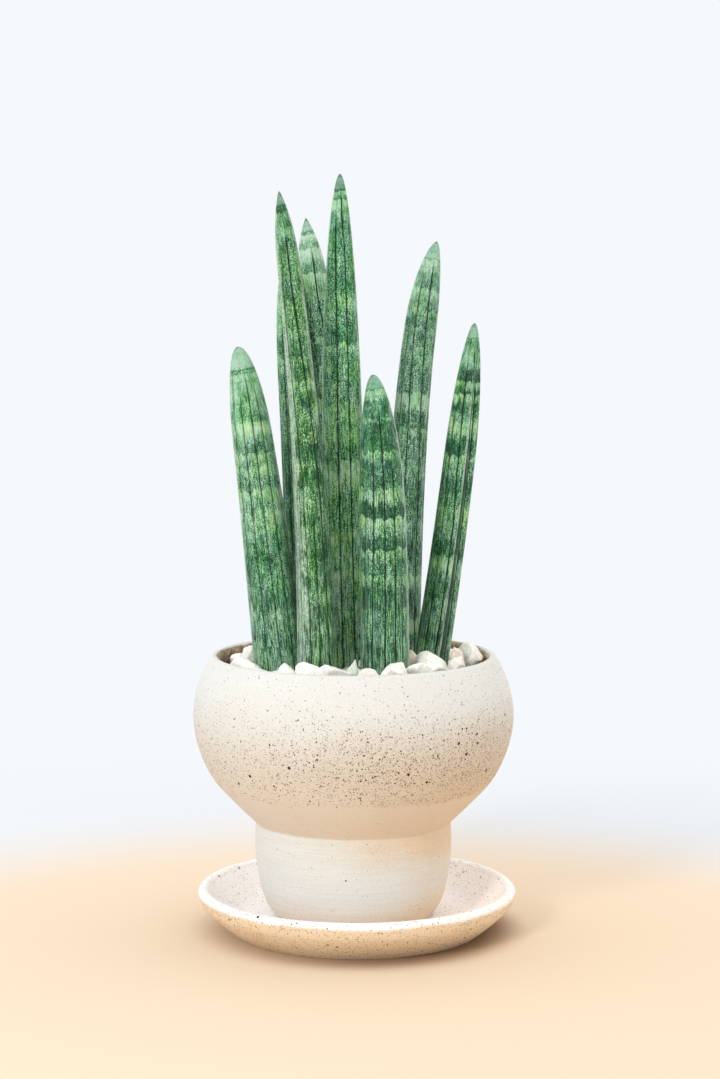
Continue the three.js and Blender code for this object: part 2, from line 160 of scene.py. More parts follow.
# The cross bands of each leaf from the tip down: where each starts and how light it is, 0 dark to 1 light
BANDS = {
    "leaf_left": [
        (0, 0.8), (5.4, 0.95), (11.6, 0.6), (13, 0.45), (15.1, 0.78), (17.5, 0.68), (29.5, 0.55),
        (39, 0.42), (42.5, 0.8), (44.7, 0.92), (50, 0.7), (55, 0.35), (59.5, 0.75), (64.5, 0.5),
        (67, 0.78), (72.5, 0.5), (75, 0.35), (80, 0.72), (89, 0.45), (92.5, 0.78), (97.5, 0.6),
        (110, 0.36), (114, 0.46), (117.5, 0.3), (131, 0.35), (141.5, 0.18), (149, 0.42), (160, 0.32),
        (172, 0.42),
    ],
    "leaf_tall_left": [
        (0, 0.6), (2.9, 0.5), (7, 0.3), (11.6, 0.68), (16.5, 0.5), (20, 0.62), (25, 0.52), (51.9, 0.42),
        (57, 0.32), (61.5, 0.42), (76.8, 0.58), (82, 0.3), (92, 0.48), (99.5, 0.28), (104.5, 0.68),
        (112.5, 0.3), (119.5, 0.6), (130, 0.34), (134, 0.57), (141, 0.24), (149.5, 0.62), (156.5, 0.24),
        (164.5, 0.56), (180, 0.42), (197, 0.28), (204, 0.55), (208, 0.42), (224, 0.62), (229.5, 0.35),
        (243.5, 0.58), (249.5, 0.36),
    ],
    "leaf_behind": [
        (0, 0.6), (13, 0.6), (24.6, 0.65), (29.5, 0.42), (34.5, 0.55), (44.5, 0.4), (49.5, 0.25), (57, 0.5),
        (66.5, 0.35), (72, 0.3), (79.5, 0.6), (84.5, 0.42), (107, 0.25), (120, 0.18), (136.5, 0.35),
        (147, 0.12), (157, 0.6), (163, 0.2), (184, 0.3), (205, 0.4),
    ],
    "leaf_back": [
        (0, 0.55), (4.8, 0.9), (7.6, 0.45), (10, 0.95), (14.5, 0.45), (17, 0.85), (25, 0.6), (27.4, 0.35),
        (32.2, 0.85), (37, 0.65), (42, 0.45), (50, 0.2), (55, 0.34), (62, 0.12), (71, 0.68), (76.7, 0.15),
        (87.5, 0.4), (99.5, 0.15), (105, 0.85), (114.5, 0.2), (124, 0.5), (136, 0.3), (160, 0.45),
        (172, 0.3), (200, 0.42),
    ],
    "leaf_tallest": [
        (0, 0.4), (4.3, 0.25), (9.3, 0.8), (13.2, 0.45), (14.3, 0.9), (19.9, 0.5), (31, 0.4), (55, 0.28),
        (59.7, 0.2), (67.5, 0.4), (70.5, 0.62), (77, 0.36), (86.7, 0.16), (94.6, 0.6), (100, 0.3),
        (102, 0.24), (107, 0.46), (112, 0.28), (129, 0.45), (148.5, 0.5), (154, 0.15), (161.1, 0.5),
        (166, 0.75), (175, 0.32), (190, 0.22), (201.5, 0.48), (209, 0.35), (224, 0.5), (230, 0.25),
        (247, 0.38), (253, 0.18), (264, 0.33),
    ],
    "leaf_front": [
        (0, 0.6), (6.5, 0.7), (8.8, 0.85), (13.8, 0.42), (23.4, 0.65), (27, 0.3), (42.4, 0.8), (47, 0.32),
        (52, 0.5), (54.8, 0.35), (62.5, 0.8), (66, 0.9), (72, 0.15), (79.5, 0.95), (84.5, 0.75),
        (89.5, 0.5), (92, 0.2), (97, 0.8), (104, 0.45), (112, 0.7), (119.5, 0.25), (131.2, 0.42),
        (147, 0.5), (153, 0.35),
    ],
    "leaf_right": [
        (0, 0.55), (7.1, 0.8), (18.4, 0.44), (28.3, 0.8), (32.6, 0.58), (36, 0.42), (41.5, 0.65),
        (45.2, 0.22), (51, 0.5), (57, 0.28), (64, 0.4), (75, 0.3), (90.3, 0.8), (101, 0.32), (104, 0.22),
        (111, 0.62), (117, 0.35), (121, 0.25), (130, 0.42), (142.5, 0.2), (151.5, 0.38), (157, 0.3),
        (164, 0.48), (169, 0.28), (176, 0.18), (190.5, 0.5), (196, 0.85), (204.5, 0.3), (208, 0.2),
        (221.5, 0.8), (233, 0.35),
    ],
    "leaf_far_right": [
        (0, 0.5), (3, 0.8), (10, 0.55), (12.8, 0.7), (26.8, 0.3), (30, 0.2), (33.7, 0.85), (38.8, 0.25),
        (41.5, 0.9), (46.7, 0.25), (51.5, 0.6), (56.5, 0.85), (64.5, 0.6), (69, 0.15), (76.8, 0.8),
        (82, 0.5), (84.5, 0.65), (88.4, 0.2), (98, 0.35), (106.5, 0.6), (119, 0.5), (125, 0.3),
        (127.5, 0.08), (134, 0.55), (137, 0.75), (146.8, 0.35), (150, 0.2), (159.5, 0.42), (167, 0.25),
        (175, 0.12), (184, 0.3),
    ],
}

# How each leaf differs from the others: hue, saturation and yellowness of its green, how much lighter it is
# at the tip and at the soil (partly painted light that offsets the shade falling on the lower leaves), how
# far its grey cap and its dry point reach, how grainy it is, and the stretches of painted shade and of wax
# with a painted sheen on its flanks as angle, half width, start and end down the leaf and strength
LEAF_LOOKS = {
    "leaf_left": dict(
        hue=0.505, saturation=0.92, yellow=0.0, lift=(0.04, -0.03), cap=13, dry=1.2,
        grain=0.75, shade=[(-18, 30, 150, 400, 0.45)],
        wax_and_painted_light=[(-178, 50, 0, 400, 0.6), (-4, 20, 30, 400, 0.5)],
    ),
    "leaf_tall_left": dict(
        hue=0.5, saturation=0.95, yellow=0.7, lift=(-0.13, -0.19), cap=8, dry=3.5,
        grain=1.0, shade=[],
        wax_and_painted_light=[
            (-176, 44, 10, 90, 0.85), (-172, 58, 70, 200, 1.15), (-165, 80, 170, 400, 0.75),
            (-10, 34, 4, 120, 0.9), (-24, 24, 90, 170, 0.4),
        ],
    ),
    "leaf_behind": dict(
        hue=0.5, saturation=0.95, yellow=0.1, lift=(0.06, -0.2), cap=11, dry=2,
        grain=1.0, shade=[],
        wax_and_painted_light=[(-178, 26, 0, 90, 0.4)],
    ),
    "leaf_back": dict(
        hue=0.507, saturation=0.85, yellow=0.0, lift=(0.17, 0.04), cap=8.5, dry=3.0,
        grain=1.0, shade=[],
        wax_and_painted_light=[(-10, 26, 0, 90, 0.7), (-176, 22, 0, 90, 0.5)],
    ),
    "leaf_tallest": dict(
        hue=0.5, saturation=1.02, yellow=0.1, lift=(-0.02, 0.36), cap=9.2, dry=3.4,
        grain=1.0, shade=[(-168, 30, 130, 400, 0.35)],
        wax_and_painted_light=[(-178, 22, 0, 140, 0.9), (-2, 24, 16, 150, 1.0)],
    ),
    "leaf_front": dict(
        hue=0.503, saturation=0.92, yellow=0.05, lift=(-0.15, -0.18), cap=8, dry=1.4,
        grain=0.85, shade=[],
        wax_and_painted_light=[(-4, 19, 0, 400, 1.3)],
    ),
    "leaf_right": dict(
        hue=0.512, saturation=0.82, yellow=0.0, lift=(0.06, 0.04), cap=11, dry=2.0,
        grain=0.8, shade=[],
        wax_and_painted_light=[(-176, 20, 0, 120, 0.4), (-6, 26, 0, 110, 0.5)],
    ),
    "leaf_far_right": dict(
        hue=0.5, saturation=0.95, yellow=0.05, lift=(-0.1, 0.06), cap=9, dry=2.2,
        grain=0.85, shade=[(-50, 13, 70, 400, 0.9)],
        wax_and_painted_light=[(-66, 7, 25, 400, 1.1), (-6, 24, 0, 400, 0.5), (-178, 20, 0, 120, 0.4)],
    ),
}

# The stones that show above the rim, close to those in the part's source: centre, half sizes, turn, height
# of the top, and tint
SHOWN_STONES = [
    ((-60, -33), (13, 7.5, 7), -55, 164, 0.62), ((-65, -13), (5, 4.5, 5), 20, 162, 0.45),
    ((-60.5, -1), (5.4, 4.6, 7), 70, 165.5, 0.55), ((-36, -60.5), (7.6, 6.4, 7), 15, 165, 0.7),
    ((-24, -62), (8.4, 6.6, 7.5), -5, 165.6, 0.62), ((-9.6, -64), (9, 6.6, 6.8), 10, 165.2, 0.8),
    ((-1, -57), (4.2, 3.6, 7), 0, 166.8, 0.1), ((8.3, -66), (7, 5.8, 5), 5, 163, 0.72),
    ((21.5, -65.5), (7.8, 7, 6.8), 40, 165.6, 0.6), ((34.5, -20.5), (6.6, 6.6, 8.8), 30, 166.6, 0.95),
    ((44.5, -31), (9.6, 8.4, 8.6), -25, 167, 0.5), ((45.5, -50.5), (9.4, 7.2, 6.6), 35, 164.2, 0.6),
    ((59.5, -9), (4, 3.6, 6.4), 0, 166.4, 1.0), ((67.5, 3.5), (9, 8, 8), 70, 167.6, 0.5),
    ((58, -27), (5, 4.6, 5.4), 40, 163.4, 0.66),
]
POINTED_TINT = 0.1

# The gravel layer: its top in the middle and at the wall, how late it falls away, how many stones lie on the
# spiral and in the lower layer and how far out, and how deep stones lie in narrow places and in that layer
BED_CROWN = 156
BED_EDGE = 150.5
BED_ROUNDNESS = 4
SPIRAL_STONES = 96
SPIRAL_RADIUS = 72
LOW_STONES = 130
LOW_RADIUS = 76
NARROW_DROP = 4
LOW_DROP = 3.5
GOLDEN_ANGLE = math.pi * (3 - math.sqrt(5))

# Paint and node helpers


def paint(red, green, blue):
    """A colour from its everyday 0 to 255 values."""
    linear = []
    for value in (red, green, blue):
        share = value / 255
        linear.append(share / 12.92 if share <= 0.04045 else ((share + 0.055) / 1.055) ** 2.4)
    return (*linear, 1)


def put(tree, kind, inputs=None, **options):
    """Adds a shader node with its options set and its inputs filled or linked."""
    made = tree.nodes.new("ShaderNode" + kind)
    for option, value in options.items():
        setattr(made, option, value)
    for socket, value in (inputs or {}).items():
        if isinstance(value, bpy.types.NodeSocket):
            tree.links.new(value, made.inputs[socket])
        else:
            made.inputs[socket].default_value = value
    return made


def calc(tree, operation, *values, clamp=False):
    """A Math node's result."""
    made = put(tree, "Math", dict(enumerate(values)), operation=operation, use_clamp=clamp)
    return made.outputs[0]


def product(tree, first, *others):
    """Numbers multiplied together."""
    for other in others:
        first = calc(tree, "MULTIPLY", first, other)
    return first


def total(tree, first, *others):
    """Numbers added up."""
    for other in others:
        first = calc(tree, "ADD", first, other)
    return first


def swing(tree, value, reach):
    """A noise from 0 to 1 turned into a shift to either side."""
    return calc(tree, "MULTIPLY_ADD", value, reach, -reach / 2)


def stretch(tree, vector, by):
    """The vector with each axis multiplied."""
    made = put(tree, "VectorMath", {0: vector, 1: by}, operation="MULTIPLY")
    return made.outputs[0]


def cloud(tree, vector, scale, detail=2.0, roughness=0.5):
    """Soft noise round 0.5."""
    made = put(tree, "TexNoise", {
        "Vector": vector, "Scale": scale, "Detail": detail, "Roughness": roughness,
    })
    return made.outputs[0]


def fade(tree, value, low, high, start=0.0, end=1.0):
    """Start below low, end above high, and a smooth change between them."""
    made = put(tree, "MapRange", {
        0: value, 1: low, 2: high, 3: start, 4: end,
    }, interpolation_type="SMOOTHSTEP")
    return made.outputs[0]


def blend(tree, share, first, second):
    """Two colours mixed."""
    made = put(tree, "Mix", {0: share, 6: first, 7: second}, data_type="RGBA")
    return made.outputs[2]


def vary(tree, colour, by):
    """The colour made lighter or darker by a factor."""
    made = put(tree, "HueSaturation", {"Value": by, "Color": colour})
    return made.outputs[0]


def axes(tree, vector):
    """The three parts of a vector."""
    made = put(tree, "SeparateXYZ", {0: vector})
    return made.outputs


def from_axis(tree, place):
    """Distance from the upright axis."""
    flat = stretch(tree, place, (1, 1, 0))
    made = put(tree, "VectorMath", {0: flat}, operation="LENGTH")
    return made.outputs["Value"]


def object_place(tree):
    """Where the spot lies in the object's own frame."""
    made = put(tree, "TexCoord")
    return made.outputs["Object"]


def ramp(tree, value, stops, interpolation="LINEAR"):
    """A colour ramp of places and colours."""
    made = put(tree, "ValToRGB", {0: value})
    elements = made.color_ramp.elements
    made.color_ramp.interpolation = interpolation
    while len(elements) > 1:
        elements.remove(elements[-1])
    elements[0].position = stops[0][0]
    elements[0].color = stops[0][1]
    for place, colour in stops[1:]:
        elements.new(place).color = colour
    return made.outputs[0]


def new_group(name, inputs, outputs):
    """A node group with named inputs and outputs, and its two end nodes."""
    group = bpy.data.node_groups.new(name, "ShaderNodeTree")
    for socket, kind, value in inputs:
        made = group.interface.new_socket(socket, in_out="INPUT", socket_type="NodeSocket" + kind)
        if value is not None:
            made.default_value = value
    for socket, kind in outputs:
        group.interface.new_socket(socket, in_out="OUTPUT", socket_type="NodeSocket" + kind)
    start = group.nodes.new("NodeGroupInput")
    end = group.nodes.new("NodeGroupOutput")
    return group, start.outputs, end.inputs


def use_group(tree, group, inputs):
    """Places a node group in a material."""
    made = put(tree, "Group", node_tree=group)
    for socket, value in inputs.items():
        if isinstance(value, bpy.types.NodeSocket):
            tree.links.new(value, made.inputs[socket])
        else:
            made.inputs[socket].default_value = value
    return made.outputs


def new_material(name):
    """An empty material with its Principled shader joined to the output."""
    material = bpy.data.materials.new(name)
    material.use_nodes = True
    tree = material.node_tree
    tree.nodes.clear()
    shader = put(tree, "BsdfPrincipled")
    end = put(tree, "OutputMaterial", {"Surface": shader.outputs[0]})
    end.location = (300, 0)
    return material, tree, shader.inputs


def relief(tree, shader, height, strength, distance):
    """Bump from a height over the surface."""
    bump = put(tree, "Bump", {"Strength": strength, "Distance": distance * MM, "Height": height})
    tree.links.new(bump.outputs[0], shader["Normal"])


# Modelling helpers


def select_only(piece):
    """Deselects everything else and makes the piece active."""
    bpy.ops.object.select_all(action="DESELECT")
    piece.select_set(True)
    bpy.context.view_layer.objects.active = piece


def finish_piece(piece, material, node_names):
    """Rides on the body, takes its finish, and hides the part's nodes in its place."""
    piece.data.materials.clear()
    piece.data.materials.append(material)
    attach(piece, "root")
    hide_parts(*node_names)


def smooth(points, steps):
    """The curve through the points that the solids follow."""
    line = []
    last = len(points) - 1
    for index in range(last):
        knots = [points[max(index - 1, 0)], points[index], points[index + 1], points[min(index + 2, last)]]
        a, b, c, d = [np.array(knot, float) for knot in knots]
        for step in range(steps):
            t = step / steps
            place = b + 0.5 * t * (c - a + t * (2 * a - 5 * b + 4 * c - d + t * (3 * (b - c) + d - a)))
            line.append(tuple(place))
    line.append(tuple(points[-1]))
    return line


def inside(outline, distance):
    """The line that runs inside the wall at a distance from the outline."""
    line = []
    for index, (radius, height) in enumerate(outline):
        before = np.array(outline[max(index - 1, 0)])
        after = np.array(outline[min(index + 1, len(outline) - 1)])
        along = (after - before) / np.linalg.norm(after - before)
        line.append((radius - along[1] * distance, height + along[0] * distance))
    return line


def arc(centre, radius, start, end, steps):
    """Points round part of a circle, without the two ends."""
    angles = [start + (end - start) * step / steps for step in range(1, steps)]
    return [(centre[0] + radius * math.cos(a), centre[1] + radius * math.sin(a)) for a in angles]


def between(start, end, steps):
    """Points along a straight stretch, without the two ends."""
    shares = [step / steps for step in range(1, steps)]
    return [(start[0] + (end[0] - start[0]) * s, start[1] + (end[1] - start[1]) * s) for s in shares]


def turn_piece(name, outline, centre_x, unevenness):
    """Turns a closed outline of radius and height round its upright axis, a little uneven as by hand."""
    bpy.ops.object.select_all(action="DESELECT")
    bpy.ops.mesh.primitive_circle_add(vertices=len(outline), radius=0.05)
    piece = bpy.context.object
    piece.name = name
    piece.data.name = name
    places = np.array([(centre_x + radius, 0, height) for radius, height in outline]) * MM
    piece.data.vertices.foreach_set("co", places.ravel())
    bpy.ops.object.mode_set(mode="EDIT")
    bpy.ops.mesh.select_all(action="SELECT")
    bpy.ops.mesh.spin(steps=TURN_STEPS, angle=math.tau, center=(centre_x * MM, 0, 0), axis=(0, 0, 1))
    bpy.ops.mesh.select_all(action="SELECT")
    bpy.ops.mesh.remove_doubles(threshold=MERGE_DISTANCE)
    bpy.ops.mesh.delete_loose(use_verts=True, use_edges=True, use_faces=False)
    bpy.ops.mesh.select_all(action="SELECT")
    bpy.ops.mesh.normals_make_consistent(inside=False)
    bpy.ops.object.mode_set(mode="OBJECT")
    for vertex in piece.data.vertices:
        place = vertex.co / MM
        out = Vector((place.x - centre_x, place.y, 0))
        if out.length > 1 and place.z > 0.5:
            vertex.co += out.normalized() * unevenness(place) * MM
    bpy.ops.object.shade_smooth()
    return piece


# Stoneware pot and saucer


def throwing_marks(place):
    """Low rings that the fingers leave, which wander a little."""
    wander = noise.noise(place * 0.02) * 1.2
    return 0.05 * math.sin(place.z * math.tau / 2.1 + wander) + 0.12 * noise.noise(place * 0.03)


def pot_unevenness(place):
    """The foot shows throwing marks, and the bowl is only a little out of round."""
    foot_share = min(max((70 - place.z) / 12, 0), 1)
    near_floor = min(max((place.z - POT_BASE) / 4, 0), 1)
    rings = throwing_marks(place) * foot_share
    swell = 0.22 * noise.noise(Vector((place.x, place.y, place.z * 1.6)) * 0.022 + Vector((3, 7, 1)))
    return (rings + swell) * near_floor


def saucer_unevenness(place):
    """A slightly wavy rim."""
    rim_share = min(max((math.hypot(place.x, place.y) - 76) / 14, 0), 1)
    return 0.3 * rim_share * noise.noise(place * 0.03 + Vector((5, 1, 2)))


def make_pot():
    """Foot, bowl, round lip, inside wall and the ring that it stands on, in one turned piece."""
    outside = smooth(FOOT_CURVE, CURVE_STEPS) + smooth(BOWL_CURVE, CURVE_STEPS)[1:]
    inner = inside(outside, POT_WALL)
    outer_lip = np.array(outside[-1])
    inner_lip = np.array(inner[-1])
    lip_start = math.atan2(*(outer_lip - inner_lip)[::-1])
    lip = arc((outer_lip + inner_lip) / 2, POT_WALL / 2, lip_start, lip_start + math.pi, ROUND_STEPS)
    wall = [point for point in inner if point[1] > POT_FLOOR_INSIDE + 0.6][::-2]
    recess = POT_BASE + POT_RECESS
    underside = [
        (DRAIN_RADIUS, recess), (20, recess), (RING_INSIDE - 0.4, recess), (RING_INSIDE, recess - 0.4),
        (RING_INSIDE, POT_BASE + 0.4), (RING_INSIDE + 0.4, POT_BASE), (RING_OUTSIDE, POT_BASE),
    ]
    floor = [(wall[-1][0] - 0.4, POT_FLOOR_INSIDE), (30, POT_FLOOR_INSIDE), (DRAIN_RADIUS, POT_FLOOR_INSIDE)]
    return turn_piece("fine_pot", underside + outside[1:] + lip + wall + floor, POT_X, pot_unevenness)


def make_saucer():
    """A wide basin with a thick round rim."""
    rim_x, rim_z, rim_radius, rim_turn = SAUCER_RIM
    rim_end = (rim_x + rim_radius * math.cos(rim_turn), rim_z + rim_radius * math.sin(rim_turn))
    outside = smooth(SAUCER_CURVE, SAUCER_STEPS)
    rim = arc((rim_x, rim_z), rim_radius, 0, rim_turn, ROUND_STEPS)
    basin = smooth([rim_end, *SAUCER_BASIN], SAUCER_STEPS)
    basin_middle = (0, basin[-1][1])
    outline = (
        [(0, 0)] + between((0, 0), outside[0], 4) + outside + rim + basin
        + between(basin[-1], basin_middle, 4) + [basin_middle]
    )
    return turn_piece("fine_saucer", outline, 0, saucer_unevenness)


def make_speckles():
    """Specks scattered through the clay: those of a random share of the cells, each of its own size."""
    group, start, end = new_group("clay speckles", [
        ("Place", "Vector", None), ("Cell", "Float", 2.0), ("Share", "Float", 0.3), ("Size", "Float", 0.3),
    ], [("Mask", "Float")])
    warp = put(group, "TexNoise", {"Vector": start["Place"], "Scale": 900.0, "Detail": 1.0})
    shift = stretch(group, warp.outputs["Color"], (0.0004, 0.0004, 0.0004))
    bent = put(group, "VectorMath", {0: start["Place"], 1: shift}, operation="ADD")
    cells = put(group, "TexVoronoi", {
        "Vector": bent.outputs[0], "Scale": calc(group, "DIVIDE", 1000.0, start["Cell"]),
    })
    chance = put(group, "SeparateColor", {0: cells.outputs["Color"]})
    chosen = calc(group, "LESS_THAN", chance.outputs[0], start["Share"])
    variety = calc(group, "POWER", chance.outputs[1], 2.0)
    size = calc(group, "MULTIPLY", start["Size"], calc(group, "MULTIPLY_ADD", variety, 0.95, 0.4))
    near = calc(group, "SUBTRACT", size, cells.outputs["Distance"])
    group.links.new(product(group, fade(group, near, -0.01, 0.035), chosen), end["Mask"])
    return group


def make_clay_body():
    """Grain and soft blotches of the bare fired clay."""
    group, start, end = new_group("clay body", [
        ("Place", "Vector", None), ("Pale", "Color", (1, 1, 1, 1)), ("Warm", "Color", (1, 1, 1, 1)),
        ("Warmth", "Float", 0.0),
    ], [("Color", "Color"), ("Height", "Float")])
    blotch = cloud(group, start["Place"], 26.0, 3.0, 0.55)
    grain = cloud(group, start["Place"], 1400.0, 2.0, 0.6)
    pits = cloud(group, start["Place"], 480.0, 3.0, 0.6)
    uneven = fade(group, blotch, 0.3, 0.7, -0.05, 0.07)
    warmth = calc(group, "ADD", start["Warmth"], uneven, clamp=True)
    base = blend(group, warmth, start["Pale"], start["Warm"])
    group.links.new(vary(group, base, fade(group, grain, 0.3, 0.7, 0.93, 1.04)), end["Color"])
    group.links.new(calc(group, "MULTIPLY_ADD", pits, 0.6, grain), end["Height"])
    return group


SPECKLES = make_speckles()
CLAY_BODY = make_clay_body()


def clay_specks(tree, place, density, base):
    """Sand and three sizes of speck over the clay colour, and where the larger two lie."""
    colour = base
    masks = []
    for cell, share, least, size, strength, tint in (
        (0.85, 0.95, 0.02, 0.44, 0.55, paint(168, 136, 106)), (1.0, 0.8, 0.0, 0.34, 0.9, paint(88, 60, 44)),
        (2.0, 0.5, 0.0, 0.23, 0.96, paint(56, 40, 34)), (5.5, 0.42, 0.0, 0.16, 0.98, paint(32, 27, 27)),
    ):
        specks = use_group(tree, SPECKLES, {
            "Place": place, "Cell": cell, "Share": calc(tree, "MULTIPLY_ADD", density, share, least),
            "Size": size,
        })
        colour = blend(tree, product(tree, specks[0], strength), colour, tint)
        masks.append(specks[0])
    return colour, calc(tree, "ADD", masks[2], masks[3], clamp=True)


def pot_speck_density(tree, across, height, crisp):
    """Dense on the lower bowl, more so on the right, thin towards the lip and almost nothing on the foot."""
    above_band = fade(tree, crisp, BAND_TOP - 0.0015, BAND_TOP + 0.0015)
    on_bowl = product(
        tree, above_band, fade(tree, height, 0.11, 0.15, 1.0, 0.08),
        fade(tree, across, -0.085, 0.03, 0.6, 1.3),
        fade(tree, height, BAND_TOP - 0.001, 0.106, 0.5, 1.0),
    )
    return total(tree, on_bowl, fade(tree, crisp, FOOT_TOP - 0.004, FOOT_TOP, 0.006, 0.0))


def pot_warmth_and_painted_shade(tree, across, level, height, crisp):
    """The bare clay is warm from the band up, fading towards the lip. Painted shade adds warmth under the
    bowl's overhang, right of the foot, low on the foot and more on the right side.
    """
    above_foot = fade(tree, crisp, FOOT_TOP - 0.0015, FOOT_TOP + 0.0015)
    warmth_with_painted_shade = product(tree, fade(tree, height, FOOT_TOP, 0.147, 0.95, 0.0), above_foot)
    # Painted shadow of the bowl's overhang across the top of the foot, reaching lower on the right
    painted_shadow_under_bowl = product(
        tree, fade(tree, height, 0.04, 0.062), fade(tree, height, 0.066, 0.08, 1.0, 0.0),
        fade(tree, across, -0.04, 0.05, 0.0, 1.1),
    )
    warmth_with_painted_shade = calc(tree, "MAXIMUM", warmth_with_painted_shade, painted_shadow_under_bowl)
    # Painted shade on the right of the foot
    painted_shade_right_of_foot = product(
        tree, fade(tree, across, 0.012, 0.055, 0.0, 0.5), fade(tree, level, 0.06, 0.066, 1.0, 0.0))
    # Painted shade low on the foot, near the saucer
    warmth_with_painted_shade = total(tree, warmth_with_painted_shade, fade(tree, level, 0.01, 0.034, 0.8, 0.0), painted_shade_right_of_foot)
    above_band = fade(tree, crisp, BAND_TOP - 0.0015, BAND_TOP + 0.0015)
    # Painted shade: the clay turns warmer and darker towards the right side
    side = total(
        tree, fade(tree, across, -0.095, 0.095, 0.55, 1.15),
        product(tree, above_band, fade(tree, across, -0.02, 0.08, 0.0, 0.35)),
    )
    return product(tree, warmth_with_painted_shade, side)


def pot_stain(tree, place, level, wander):
    """Where the inside of the wall is stained by water, down from just below the lip."""
    centred = put(tree, "VectorMath", {0: place, 1: (-POT_X * MM, 0, 0)}, operation="ADD")
    wall_line = fade(tree, level, 0.146, STAIN_TOP, 0.0832, 0.0792)
    within = calc(tree, "LESS_THAN", from_axis(tree, centred.outputs[0]), wall_line)
    edge = calc(tree, "MULTIPLY_ADD", wander, 0.006, level)
    below_lip = fade(tree, edge, STAIN_TOP, STAIN_TOP + 0.0016, 1.0, 0.0)
    return product(tree, within, below_lip, calc(tree, "GREATER_THAN", level, STAIN_BOTTOM), 0.92)


def make_pot_material():
    """Cream clay: speckled bowl, bare warm band under it, whitish foot, and a stained inside, with painted
    shade as warmth under the bowl, low on the foot and on the right.
    """
    material, tree, shader = new_material("speckled_stoneware")
    place = object_place(tree)
    across, _, level = axes(tree, place)
    wander = calc(tree, "SUBTRACT", cloud(tree, place, 30.0, 3.0, 0.55), 0.5)
    height = calc(tree, "MULTIPLY_ADD", wander, 0.016, level)
    crisp = calc(tree, "MULTIPLY_ADD", wander, 0.007, level)
    density = pot_speck_density(tree, across, height, crisp)
    # The warm colour serves both the bare clay band and the painted shade
    clay = use_group(tree, CLAY_BODY, {
        "Place": place, "Pale": paint(221, 221, 217), "Warm": paint(222, 200, 173),
        "Warmth": pot_warmth_and_painted_shade(tree, across, level, height, crisp),
    })
    sandy_share = calc(tree, "MULTIPLY", density, 0.28, clamp=True)
    sandy = blend(tree, sandy_share, clay["Color"], paint(196, 178, 152))
    colour, dots = clay_specks(tree, place, density, sandy)
    soiling = ramp(tree, cloud(tree, place, 260.0, 4.0, 0.65), [
        (0.3, paint(100, 78, 58)), (0.52, paint(166, 138, 110)), (0.7, paint(226, 204, 176)),
    ])
    colour = blend(tree, pot_stain(tree, place, level, wander), colour, soiling)
    rings = cloud(tree, stretch(tree, place, (30.0, 30.0, 900.0)), 1.0)
    ring_share = fade(tree, level, 0.058, 0.066, 1.0, 0.25)
    ringed = vary(tree, colour, fade(tree, rings, 0.3, 0.7, 0.968, 1.024))
    tree.links.new(blend(tree, ring_share, colour, ringed), shader["Base Color"])
    tree.links.new(fade(tree, dots, 0.0, 1.0, 0.82, 0.6), shader["Roughness"])
    shader["Specular IOR Level"].default_value = 0.3
    height_map = calc(tree, "MULTIPLY_ADD", rings, product(tree, ring_share, 1.2), clay["Height"])
    relief(tree, shader, calc(tree, "MULTIPLY_ADD", dots, -0.9, height_map), 0.5, 0.22)
    return material


def make_saucer_material():
    """White speckled basin and rim over a bare tan outside."""
    material, tree, shader = new_material("speckled_saucer")
    place = object_place(tree)
    level = axes(tree, place)[2]
    wander = calc(tree, "SUBTRACT", cloud(tree, place, 40.0, 3.0, 0.55), 0.5)
    under_rim = fade(tree, calc(tree, "MULTIPLY_ADD", wander, 0.004, level), 0.0202, 0.023, 1.0, 0.0)
    from_base = calc(tree, "SUBTRACT", from_axis(tree, place), 0.0725)
    slope = calc(tree, "MULTIPLY_ADD", from_base, 0.75, 0.008)
    outer_face = calc(tree, "LESS_THAN", level, calc(tree, "MAXIMUM", slope, 0.004))
    tan = product(tree, under_rim, outer_face)
    clay = use_group(tree, CLAY_BODY, {
        "Place": place, "Pale": paint(250, 246, 245), "Warm": paint(238, 217, 187), "Warmth": tan,
    })
    patches = calc(tree, "MULTIPLY_ADD", cloud(tree, place, 55.0), 1.3, -0.1)
    density = product(tree, patches, calc(tree, "MULTIPLY_ADD", tan, 0.5, 0.3))
    colour, dots = clay_specks(tree, place, density, clay["Color"])
    tree.links.new(colour, shader["Base Color"])
    tree.links.new(fade(tree, dots, 0.0, 1.0, 0.8, 0.6), shader["Roughness"])
    shader["Specular IOR Level"].default_value = 0.3
    relief(tree, shader, calc(tree, "MULTIPLY_ADD", dots, -0.9, clay["Height"]), 0.5, 0.22)
    return material


pot = make_pot()
finish_piece(pot, make_pot_material(), ["pot"])
saucer = make_saucer()
finish_piece(saucer, make_saucer_material(), ["saucer"])

# Leaves

ROWS = 40
TIP_CROWDING = 1.6
GROOVE_RUN_IN = 30
LINE_RUN_IN = 9
COLUMN_PHASES = (0.0, 0.13, 0.5, 0.87)
COLUMN_DEPTHS = (1.0, 0.12, -0.1, 0.12)
GROOVE_DEPTH = 0.85
CHANNEL_HALF_WIDTH = 24


def leaf_course(leaf):
    """Points along the leaf's middle line from the tip down, with the distance and direction at each."""
    root = np.array([*leaf["root"], ROOT_HEIGHT], float)
    tip = np.array(leaf["tip"], float)
    bend = root + (tip - root) * leaf["bow_at"] + np.array([leaf["bow"], 0, 0])
    t = np.linspace(1, 0, 401)[:, None]
    points = (1 - t) ** 2 * root + 2 * t * (1 - t) * bend + t ** 2 * tip
    directions = 2 * (1 - t) * (bend - root) + 2 * t * (tip - bend)
    directions /= np.linalg.norm(directions, axis=1)[:, None]
    steps = np.linalg.norm(np.diff(points, axis=0), axis=1)
    return points, np.concatenate([[0], np.cumsum(steps)]), directions


